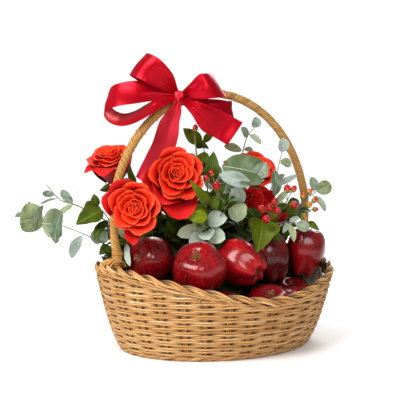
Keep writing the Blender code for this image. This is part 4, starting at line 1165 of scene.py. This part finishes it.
for name, (stem_points, leaves) in EUCALYPTUS.items():
    grow_sprig(name, stem_points, leaves, "round", silver_leaf, "silver_leaf")
for name, (stem_points, leaves) in LEAFY.items():
    grow_sprig(name, stem_points, leaves, "pointed", green_leaf, "green_leaf")

# %% [markdown]
# ## Berries
#
# Hypericum berries are glossy eggs with a dark point at the tip. Five green sepals hold each one at
# its foot. The first berry is an egg pulled from a sphere, and the others are copies of it at their
# own sizes, each looking away from the fork of its twig.

# %% Tables of berries
# points of the stem, then the berries as (place, diameter)
BERRIES = {
    "berries_top": (
        [(-27, -32, 272), (-30, -34, 300)],
        [((-29, -34, 313), 8)],
    ),
    "berries_centre": (
        [(15, -76, 207), (1, -75, 222)],
        [((-13, -76, 243), 9), ((-6, -72, 250), 8), ((1, -84, 233), 12)],
    ),
    "berries_low": (
        [(74, -34, 180), (74, -44, 192)],
        [((64, -52, 200), 10), ((74, -60, 201), 10), ((82, -52, 209), 10), ((86, -56, 197), 10),
         ((69, -80, 187), 12)],
    ),
    "berries_high": (
        [(97, 4, 191), (105, 8, 209)],
        [((105, 10, 225), 11), ((115, 14, 225), 9), ((114, 4, 202), 11)],
    ),
    "berries_far": (
        [(111, 30, 187), (131, 50, 196)],
        [((132, 52, 213), 9), ((143, 56, 219), 9), ((141, 50, 199), 10), ((151, 58, 206), 9),
         ((152, 56, 192), 8), ((133, 46, 181), 11)],
    ),
}
# 0 yellow-green, 1 deep red
RIPENESS = {"berries_top": 0.85, "berries_centre": 0.8, "berries_low": 0.75, "berries_high": 0.7,
            "berries_far": 0.4}
print(len(BERRIES), "sprigs with", sum(len(berries) for points, berries in BERRIES.values()), "berries")

# %% One berry
bpy.ops.mesh.primitive_uv_sphere_add(segments=18, ring_count=14, radius=1)
egg = bpy.context.active_object
for point in egg.data.vertices:
    z = point.co.z
    slim = 1 - 0.16 * z if z > 0 else 1.0
    point.co = (point.co.x * slim, point.co.y * slim, z * (1.25 if z > 0 else 1.12))
egg_points = [tuple(p.co) for p in egg.data.vertices]
egg_faces = [tuple(f.vertices) for f in egg.data.polygons]
bpy.data.objects.remove(egg)
print("egg:", len(egg_faces), "faces")

# %% Hang the berries
for name, (stem_points, berries) in BERRIES.items():
    points = [shown(p) for p in stem_points]
    bunch, sepals = Skins(), Skins()
    low_stems.append((root_of(name), points[0]))
    bunch.rod([root_of(name)] + points, [1.3, 1.2, 0.9], len(name), [0.5] * 3, sides=7, slot=1)
    for number, (place, diameter) in enumerate(berries):
        centre, radius = shown(place), diameter / 2
        fork = points[1].lerp(points[0], 0.08 + 0.16 * number)
        side, up, ahead = facing_axes(centre - fork)
        twig = [fork, fork.lerp(centre, 0.5) + up * 0.8, centre - ahead * radius]
        bunch.rod(twig, [0.75, 0.6, 0.8], number, [0.5] * 3, sides=6, slot=1)
        start = len(bunch.points)
        for x, y, z in egg_points:
            bunch.points.append(tuple((centre + (side * x + up * y + ahead * z) * radius) * MM))
        bunch.faces += [tuple(start + k for k in f) for f in egg_faces]
        bunch.slots += [0] * len(egg_faces)
        bunch.grain += egg_points
        ripeness = RIPENESS[name] + (0.95 - RIPENESS[name]) * draw.uniform(-0.5, 0.5)
        bunch.tone += [min(1.0, max(0.0, ripeness))] * len(egg_points)
        tip = centre + ahead * (radius * 1.2)
        spike = [tip, tip + ahead * 0.9, tip + ahead * 1.8]
        bunch.rod(spike, [0.5, 0.35, 0.15], number, [0.0] * 3, sides=5, slot=1)
        for k in range(5):
            a = 2 * math.pi * (k + 0.3) / 5
            out = side * math.cos(a) + up * math.sin(a)
            base = centre - ahead * (radius * 1.12)
            tip = base + (out * 0.95 + ahead * 0.5) * radius
            lay_leaf(sepals, base, tip, radius * 0.85, out - ahead, "round", draw.uniform(0.4, 0.9), k,
                     fold=0.1, bend=0.12)
    cups = thicken(sepals.piece(name + "_cups", sepal_green), 0.35)
    eggs = bunch.piece(name + "_eggs", berry_skin, stem_bark)
    keep(join(name + "_bunch", [eggs, cups]), name, slot="berry_skin")

# %% [markdown]
# ## Roses
#
# An open rose is a bud of rolled petals inside wider and wider ones. Each petal starts as a flat
# sheet that is wrapped round the flower's axis: its foot is in the cup, and it swells and opens
# towards its rim, whose corners are rounded and rolled back. One edge of a petal lies under its
# neighbour and the other over the next. The layers from the heart out are in a table. The last
# petals are guards that fall away from the head, and green sepals hang under it. A guard is given
# by its angle round the head in degrees, its length, its width and how far it droops.

# %% Tables of roses
ROSES = {                       # middle of the face, way it faces, radius, depth, guards, freshness
    "rose_1": ((-153, -30, 281), (-0.12, -0.42, 0.9), 31, 50,
               [(205, 26, 34, 1.0), (345, 24, 34, 0.4), (262, 24, 40, 0.9)], 0.9),
    "rose_2": ((-108, -127, 205), (-0.05, -1.0, 0.06), 34, 40,
               [(262, 38, 26, 0.5), (162, 34, 44, 0.35), (124, 33, 54, 0.3)], 0.9),
    "rose_3": ((-51, -98, 251), (0.12, -1.0, 0.16), 36, 42,
               [(272, 44, 56, 0.4), (234, 34, 50, 0.3), (196, 38, 48, 0.4), (306, 30, 46, 0.25)], 0.85),
    "rose_4": ((60, -12, 261), (0.3, -0.72, 0.62), 30, 38, [(10, 26, 42, 0.4), (170, 36, 40, 0.5)], 0.9),
    "rose_5": ((57, -20, 205), (0.35, -0.9, 0.05), 22, 32, [(20, 32, 26, 0.5)], 0.15),
    "rose_6": ((-66, 112, 206), (-0.2, 0.85, 0.45), 34, 42, [(260, 40, 36, 0.5), (20, 44, 36, 0.5)], 0.8),
    "rose_7": ((66, 96, 204), (0.3, 0.8, 0.5), 33, 42, [(200, 46, 36, 0.5), (320, 44, 34, 0.5)], 0.7),
}
LAYERS = (                      # rim radius and height as shares of the radius, petals, degrees wide, roll
    (0.07, -0.06, 2, 215, 0.00), (0.14, -0.02, 3, 165, 0.00), (0.23, 0.01, 3, 155, 0.01),
    (0.36, 0.02, 3, 148, 0.03), (0.53, 0.00, 4, 122, 0.05), (0.73, -0.06, 4, 118, 0.08),
    (0.93, -0.16, 5, 96, 0.10),
)
print(sum(layer[2] for layer in LAYERS), "petals in a rose, and its guards")

# %% Wrap the petals
PETAL_THICK = 0.45


def wrap_petal(skins, face, axes, radius, depth, layer, inner, turn, tone, number):
    """One petal wrapped round the axis of the flower. It hugs the layer inside it, then flares."""
    share, rise, count, degrees, roll = layer
    side, up, ahead = axes
    spread = math.radians(degrees) / 2 * (1 + 0.09 * math.sin(5.1 * number))
    lean = 0.08 * share * math.sin(2.7 * number)
    lift = 0.055 * math.sin(4.3 * number + 1.0)
    foot = -depth * (0.96 if share > 0.6 else 0.75)
    waist = -radius * (0.14 + 0.34 * (share - inner) / 0.2)
    rounding = 0.08 + 0.2 * share if share < 1 else 0.26

    def at(u, v):
        peak = 0.04 * share * math.exp(-(u / 0.22) ** 2)
        reach = v * (1.0 - rounding * abs(u) ** 2.2 + peak)
        a = turn + u * spread * (0.72 + 0.28 * v)
        low, high = min(1.0, reach / 0.55), max(0.0, (reach - 0.55) / 0.45)
        flare = high * high * (3 - 2 * high)
        hug = inner * 1.03 * (0.36 + 0.64 * math.sin(0.5 * math.pi * low))
        over = max(0.0, (reach - 0.82) / 0.18) ** 2 * (0.6 + 0.9 * abs(u))
        wave = 0.035 * (0.3 + share) * math.sin(5.5 * u + 2 * number) * high * high
        bulge = (share - inner) * (1 - 0.55 * abs(u) ** 2.5)
        r = radius * (hug + bulge * flare + 0.06 * (share + 0.15) * u + roll * over + wave + lean * flare)
        z = (foot + (waist - foot) * low + (radius * (rise + lift) - waist) * high ** 0.9
             - radius * (roll * 1.1 * over + wave))
        return face + (side * math.cos(a) + up * math.sin(a)) * r + ahead * z

    skins.lay(SHEET, at, tone, number)


for name, (place, facing, radius, depth, guards, fresh) in ROSES.items():
    side, up, ahead = facing_axes(shown(facing))
    face = shown(place)
    petals, green = Skins(), Skins()
    number, turn, inner = 0, draw.uniform(0, 6.28), 0.02
    for layer in LAYERS:
        turn += 1.1
        for k in range(layer[2]):
            number += 1
            a = turn + 2 * math.pi * k / layer[2] + draw.uniform(-0.12, 0.12)
            tone = min(1.0, max(0.0, fresh * (1.1 - 0.2 * layer[0]) + draw.uniform(-0.15, 0.1)))
            wrap_petal(petals, face, (side, up, ahead), radius, depth, layer, inner, a, tone, number)
        inner = layer[0]
    for degrees, length, width, droop in guards:
        a = math.radians(degrees)
        reach = 0.33 + 0.93 * length / radius
        guard = (reach, -0.1 - 0.55 * droop, 1, 72 * width / (reach * radius), 0.08)
        wrap_petal(petals, face, (side, up, ahead), radius, depth, guard, 0.9, a, fresh * 0.12,
                   number + degrees)
    calyx = face - ahead * depth
    root = root_of(name)
    low_stems.append((root, calyx))
    green.rod([calyx + ahead * 5, calyx + ahead * 1, calyx - ahead * 4, root],
              [radius * 0.24, radius * 0.2, 3.0, 2.3], number, [0.6] * 4, sides=12)
    for k in range(5):
        a = 2 * math.pi * (k + 0.2) / 5
        out = side * math.cos(a) + up * math.sin(a)
        base = calyx + ahead * 2 + out * (radius * 0.16)
        lay_leaf(green, base, base + out * (0.62 * radius) + ahead * (radius * draw.uniform(-0.15, 0.3)),
                 radius * 0.28, ahead - out, "pointed", draw.uniform(0.1, 0.5), k, bend=-0.12)
    sheets = thicken(petals.piece(name + "_petals", petal_skin), PETAL_THICK)
    keep(join(name + "_flower", [sheets, green.piece(name + "_green", sepal_green)]), name, slot="petal")

# %% [markdown]
# ## The bow
#
# A satin ribbon 38 mm wide is tied round the top of the handle. It is crushed at the knot, so fine
# pleats fan out from there and die away where the loop is at its full width. Rows across the ribbon
# follow the loop, each with its middle and its half width, and the pleats are waves across them that
# grow as a row gets narrower. Each loop and each tail is a sheet of its own.

# %% Tables of the ribbon
# a loop or tail is rows of (middle of the ribbon, half of its width as a vector)
KNOT = (-51, -47, 356)
KNOT_BAND = -59.0               # where the ribbon goes round the handle, along X
LOOPS = {
    "bow_loop_left_high": [
        ((-58, -48, 365), (4.5, 0.0, 3.4)), ((-71, -62, 377), (11.4, 0.0, 9.4)),
        ((-87, -71, 390), (11.8, 0.0, 14.1)), ((-101, -66, 398), (12.0, 0.0, 14.7)),
        ((-109, -50, 401), (11.7, 0.0, 15.0)), ((-100, -37, 395), (12.0, 0.0, 14.8)),
        ((-83, -35, 382), (9.9, 0.0, 12.0)), ((-62, -41, 366), (4.2, 0.0, 4.2)),
    ],
    "bow_loop_left_low": [
        ((-61, -48, 358), (0.0, -2.0, -4.6)), ((-85, -54, 361), (0.0, -5.0, -11.2)),
        ((-110, -61, 361), (0.0, -8.0, -16.1)), ((-134, -60, 358), (0.0, -9.0, -16.7)),
        ((-149, -52, 353), (-1.4, -9.0, -16.7)), ((-154, -47, 343), (-1.4, -12.0, -14.0)),
        ((-147, -49, 330), (0.0, -15.0, -11.2)), ((-132, -53, 324), (0.0, -16.0, -9.8)),
        ((-115, -60, 327), (0.0, -16.0, -9.7)), ((-96, -66, 336), (0.0, -14.0, -9.6)),
        ((-81, -67, 344), (0.0, -10.0, -8.2)), ((-62, -56, 351), (0.0, -4.0, -3.8)),
    ],
    "bow_loop_right_high": [
        ((-42, -50, 360), (1.6, 0.0, -5.0)), ((-33, -62, 363), (2.8, 0.0, -10.5)),
        ((-18, -70, 368), (5.5, 0.0, -16.5)), ((-4, -66, 370), (9.6, 0.0, -16.4)),
        ((4, -48, 372), (11.2, 0.0, -15.3)), ((-5, -36, 372), (9.6, 0.0, -16.4)),
        ((-22, -34, 369), (5.6, 0.0, -14.1)), ((-41, -41, 363), (2.1, 0.0, -5.3)),
    ],
    "bow_loop_right_low": [
        ((-42, -46, 350), (1.0, 0.0, -3.6)), ((-18, -45, 342), (1.4, -2.0, -11.6)),
        ((6, -42, 337), (2.8, -4.0, -15.4)), ((20, -36, 335), (2.8, -5.0, -15.5)),
        ((24, -28, 336), (2.8, -5.0, -15.6)), ((12, -22, 338), (2.9, -4.0, -14.3)),
        ((-14, -26, 344), (1.4, -2.0, -10.4)), ((-38, -36, 351), (0.0, 0.0, -4.0)),
    ],
}
TAILS = {
    "bow_tail_right": [
        ((-46, -56, 351), (2.2, 0.0, 3.3)), ((-27, -68, 338), (5.9, 0.0, 8.6)),
        ((-9, -58, 324), (10.5, 0.0, 15.0)), ((10, -46, 314), (10.9, -2.0, 15.3)),
        ((27, -50, 304), (10.5, -2.0, 15.8)),
    ],
    "bow_tail_down": [
        ((-53, -55, 347), (4.6, 0.0, -1.0)), ((-57, -52, 335), (9.0, 0.0, -2.0)),
        ((-65, -44, 321), (14.0, -6.0, -2.1)), ((-69, -39, 305), (16.5, -8.0, -1.4)),
        ((-74, -36, 287), (16.0, -8.0, -5.1)), ((-83, -32, 268), (15.6, -8.0, -7.1)),
        ((-93, -30, 249), (15.0, -8.0, -8.6)), ((-102, -30, 235), (13.0, -8.0, -8.6)),
    ],
}
RIBBON_WIDE, RIBBON_THICK, RIBBON_CELLS = 38.0, 0.5, 14
CELL_WIDE = RIBBON_WIDE * MM / RIBBON_CELLS
print(len(LOOPS), "loops and", len(TAILS), "tails")

# %% Lay the ribbon
for number, (name, rows) in enumerate((LOOPS | TAILS).items()):
    middles, widths = [shown(place) for place, half in rows], [shown(half) for place, half in rows]
    middles.insert(0, middles[0].lerp(shown(KNOT), 0.5))
    widths.insert(0, widths[0] * 0.8)
    if name in LOOPS:
        middles.append(middles[-1].lerp(shown(KNOT), 0.5))
        widths.append(widths[-1] * 0.8)
    route, halves = smooth_route(middles, 10), smooth_route(widths, 10)
    length = sum((b - a).length for a, b in zip(route, route[1:]))
    grid, tones, grains = [], [], []
    run = 0.0
    for i, middle in enumerate(route):
        ahead = (route[min(i + 1, len(route) - 1)] - route[max(i - 1, 0)]).normalized()
        half = halves[i]
        out = ahead.cross(half).normalized()
        run += (middle - route[i - 1]).length if i else 0.0
        slack = max(0.0, 1.0 - half.length / (RIBBON_WIDE / 2))
        row = []
        for k in range(RIBBON_CELLS + 1):
            u = -1 + 2 * k / RIBBON_CELLS
            pleat = 2.8 * slack * math.sin(7.0 * u + 1.3 * number)
            billow = 0.9 * math.sin(2.6 * u + 0.06 * run + number)
            row.append(middle + half * u + out * (pleat + billow))
        grid.append(row)
        # the hanging tail is painted paler over its first five rows and after them, as painted light on a
        # tail that the loops shade
        tones.append([0.2 * min(5, i) if name == "bow_tail_down" else 0.0] * len(row))
        grains.append([(run * MM, CELL_WIDE * k, 0.37 * number) for k in range(len(row))])
    band = Skins()
    band.add(grid, tones, grains, around=False)
    band_piece = band.piece("satin_" + name, satin)
    work = bmesh.new()
    work.from_mesh(band_piece.data)
    area = sum(f.calc_area() for f in work.faces)
    work.free()
    thicken(band_piece, RIBBON_THICK)
    keep(band_piece, name, slot="satin")

# %% [markdown]
# The knot is a short piece of the same ribbon wrapped once round the crossing, so its pleats run
# along the wrap. A band of it goes on round the handle.

# %% Band round the handle
t = math.acos((HANDLE_SHIFT - KNOT_BAND) / HANDLE_HALF_SPAN)
on_top = Vector((KNOT_BAND, 0.0, HANDLE_SPRING + (HANDLE_TOP - HANDLE_SPRING) * math.sin(t)))
slope = Vector((math.sin(t) * HANDLE_HALF_SPAN, 0.0, (HANDLE_TOP - HANDLE_SPRING) * math.cos(t))).normalized()
tied = Skins()
side, up, ahead = facing_axes(slope)
rows = []
for i in range(40):
    a = 2 * math.pi * i / 40
    out = side * math.cos(a) + up * math.sin(a)
    ring = []
    for k in range(17):
        w = -8 + k
        pleat = 0.55 * math.cos(2.4 * w + 0.5 * math.sin(2 * a))
        ring.append(on_top + out * (HANDLE_RADIUS + 2.6 + pleat) + ahead * w)
    ring += [on_top + out * (HANDLE_RADIUS + 1.4) + ahead * w for w in (8, 0, -8)]
    rows.append(ring)
grains = [[(0.006 * i, 0.001 * k, 3.0) for k in range(20)] for i in range(40)]
# the band is painted at tone 1, paler, as painted light
tied.add(rows, [[1.0] * 20] * 40, grains, loop=True)
print("band:", len(tied.faces), "faces")

# %% Tie the knot
knot = shown(KNOT)
side, up, ahead = facing_axes(shown((0.0, -1.0, 0.05)))
rows = []
for i in range(25):
    s = -1 + 2 * i / 24
    tall = 9.4 * (1 - 0.12 * s * s)
    wide = 7.6 * math.sqrt(max(0.0, 1 - s * s)) ** 0.5 if abs(s) < 1 else 0.6
    row = []
    for k in range(60):
        a = 2 * math.pi * k / 60
        pleat = 0.5 * math.cos(9 * math.cos(a) + 1.5 * s)
        row.append(knot + up * (tall * s) + side * ((wide + pleat * 0.6) * math.cos(a))
                   + ahead * ((wide * 0.98 + pleat) * math.sin(a)))
    rows.append(row)
grains = [[(0.0008 * i, 0.0008 * k, 5.0) for k in range(60)] for i in range(25)]
# the knot too is painted paler, as painted light
tied.add(rows, [[1.0] * 60] * 25, grains)
keep(tied.piece("satin_knot", satin), "bow_knot", slot="satin")

# %% [markdown]
# ## The heap of foliage
#
# Under the flowers the basket is filled with short cut foliage. The solid of the heap stays as its
# dark inside, with a leafy finish in very dark greens that are painted shade, and many separate
# leaves stand out of it. Each is laid where a random point of the heap sees the open, and only where
# it comes near no other solid and hides no fruit, flower or bow from the viewer. Others are laid in
# pairs along the stems.

# %% Finish of the heap
# the heap's solid gets very dark greens, as painted shade for the inside of the foliage
painted_dark_heap = leaf_finish("shaded_foliage", ("#0A1404", "#101C04"), ("#263F10", "#34460C"),
                        rib="#3A5418", roughness=0.6, rib_wide=0.06, vein_strength=0.2)
nodes["greenery"].data.materials.clear()
nodes["greenery"].data.materials.append(painted_dark_heap)
solid = tree_of([name for name in nodes if name != "greenery"])
fruit_and_flowers = tree_of([name for name in nodes if name.startswith(("apple", "rose", "bow"))])
AWAY = shown((0.0, 1.0, -0.05))     # the way the viewer looks
SIGHT = 70.0                        # how far behind a leaf something counts as hidden
MOST_LEAVES, MOST_TRIES = 460, 9000
print("the leaves keep clear of", len(nodes) - 1, "solids")


def is_clear(point, room):
    """Whether a point is in the open, at least room away from every other solid."""
    near, normal, index, distance = solid.find_nearest(point)
    return distance > room and (point - near).dot(normal) > 0


def hides_something(points):
    """Whether fruit, a flower or the bow lies close behind a point, as the viewer looks."""
    return any(fruit_and_flowers.ray_cast(p, AWAY, SIGHT)[0] is not None for p in points)


# %% Scatter the leaves
scatter = Skins()
heap_faces = [([nodes["greenery"].data.vertices[k].co / MM for k in f.vertices], f.normal.copy(), f.area)
              for f in nodes["greenery"].data.polygons if f.normal.z > -0.2 and f.center.z > 0.03]
weights = np.array([area for corners, normal, area in heap_faces])
weights = weights / weights.sum()
laid, tries = 0, 0
while laid < MOST_LEAVES and tries < MOST_TRIES:
    tries += 1
    corners, normal, area = heap_faces[int(draw.choice(len(heap_faces), p=weights))]
    s, t = sorted((draw.uniform(), draw.uniform()))
    foot = corners[0] * s + corners[1] * (t - s) + corners[2] * (1 - t)
    swing = Vector((draw.uniform(-1, 1), draw.uniform(-1, 1), draw.uniform(-0.3, 1.0)))
    way = (normal * 0.9 + swing * 0.75 + Vector((foot.x, foot.y, 0)).normalized() * 0.3).normalized()
    length = draw.uniform(22, 42)
    tip = foot + way * length
    begin = foot - way * 2
    samples = [begin.lerp(tip, q) for q in (0.35, 0.6, 0.85, 1.0)]
    if tip.z > 225 or not all(is_clear(p, 2.5 + 4 * (q < 3)) for q, p in enumerate(samples)):
        continue
    if hides_something(samples[1:]):
        continue
    laid += 1
    lay_leaf(scatter, begin, tip, length * draw.uniform(0.42, 0.6), normal + Vector((0, 0, 0.6)),
             "pointed", draw.uniform(0.0, 0.55), laid,
             fold=draw.uniform(0.1, 0.3), bend=draw.uniform(-0.05, 0.15))
print(laid, "leaves laid in", tries, "tries")

# %% Leaves along the stems
for root, head in low_stems:
    for share in (0.2, 0.35, 0.5, 0.65, 0.8, 0.95):
        foot, a = root.lerp(head, share), draw.uniform(0, 2 * math.pi)
        for turn in (a, a + math.pi):
            way = Vector((math.cos(turn), math.sin(turn), draw.uniform(-0.1, 0.9))).normalized()
            length = draw.uniform(20, 32)
            tip = foot + way * length
            samples = [foot.lerp(tip, q) for q in (0.6, 0.8, 1.0)]
            if (head - root).length < 25 or not all(is_clear(p, 2.0) for p in samples):
                continue
            if hides_something(samples):
                continue
            laid += 1
            lay_leaf(scatter, foot, tip, length * draw.uniform(0.42, 0.6), shown((0.0, -0.6, 0.8)), "pointed",
                     draw.uniform(0.0, 0.6), laid, fold=draw.uniform(0.1, 0.3), bend=draw.uniform(0.0, 0.15))
print(laid, "with those on the stems")
keep(thicken(scatter.piece("heap_foliage", green_leaf), LEAF_THICK), slot="greenery")

# %% [markdown]
# ## Studio
#
# The basket stands on a pale floor under soft light, as for a catalogue. A large soft light hangs
# in front and to the left, a weaker one fills from the front near the camera, and a third lights
# the back. Away from the basket's foot the floor glows a little, and the air behind it is white, as
# with a sheet of paper that is lit on its own.

# %% Floor
bpy.ops.mesh.primitive_plane_add(size=8, location=(0, 0, 0))
floor = bpy.context.active_object
floor.name = "studio_floor"
backdrop, tree, shader = new_material("matt_white_backdrop", roughness=0.9)
spot = add_node(tree, "TexCoord", output="Object")
tooth = mapped(tree, spot, (40.0, 40.0, 40.0))
white = add_node(tree, "ValToRGB", (tooth,), stops=[(0.3, "#F6F6F6"), (0.7, "#FBFBFB")])
surface(tree, shader, white)
# the glow starts 140 mm from the middle, so that only the shadow at the basket's foot is seen
away = add_node(tree, "VectorMath", (spot,), "Value", operation="LENGTH")
glow = add_node(tree, "MapRange", (away, 0.14, 0.5, 0.1, 0.8))
seen = add_node(tree, "LightPath", output="Is Camera Ray")
glow = add_node(tree, "Math", (glow, seen), operation="MULTIPLY")
tree.links.new(glow, shader.inputs["Emission Strength"])
shader.inputs["Emission Color"].default_value = (1.0, 1.0, 1.0, 1.0)
floor.data.materials.append(backdrop)
print("floor:", backdrop.name)

# %% Air round it
world = bpy.context.scene.world or bpy.data.worlds.new("studio_air")
bpy.context.scene.world = world
world.use_nodes = True
sky = world.node_tree
air = sky.nodes["Background"]
air.inputs["Color"].default_value = (1.0, 1.0, 1.0, 1.0)
# the white behind the basket is brighter than the light that it sends onto it
seen = add_node(sky, "LightPath", output="Is Camera Ray")
strength = add_node(sky, "Math", (seen, 0.77, 0.28), operation="MULTIPLY_ADD")
sky.links.new(strength, air.inputs["Strength"])
print("air:", world.name)

# %% Lights
LIGHT_AIM = Vector((0.0, 0.0, 0.2))


def soft_light(name, place, size, power):
    """Square area light that looks at the middle of the basket."""
    bpy.ops.object.light_add(type="AREA", location=place)
    lamp = bpy.context.active_object
    lamp.name = name
    lamp.data.size = size
    lamp.data.energy = power
    lamp.rotation_euler = (LIGHT_AIM - place).to_track_quat("-Z", "Y").to_euler()


soft_light("key_light", shown((-0.9, -1.2, 1.4)), size=1.0, power=38)
soft_light("fill_light", shown((0.3, -1.6, 0.95)), size=0.6, power=8)
soft_light("back_light", shown((0.4, 1.5, 1.5)), size=1.2, power=25)
print("three lights look at", [round(c, 2) for c in LIGHT_AIM])

# %% Camera
# place, aim and lens are those at which the solids cover the basket in the photograph
CAMERA_PLACE, CAMERA_AIM = Vector((-0.6407, -1.0544, 0.2738)), Vector((-0.0197, 0.0119, 0.209))
bpy.ops.object.camera_add(location=CAMERA_PLACE)
camera = bpy.context.active_object
camera.name = "front_camera"
camera.rotation_euler = (CAMERA_AIM - CAMERA_PLACE).to_track_quat("-Z", "Y").to_euler()
camera.data.lens = 76.14
camera.data.sensor_width = 36
bpy.context.scene.camera = camera
bpy.context.scene.view_settings.view_transform = "Standard"
print("camera at", [round(c, 3) for c in camera.location])
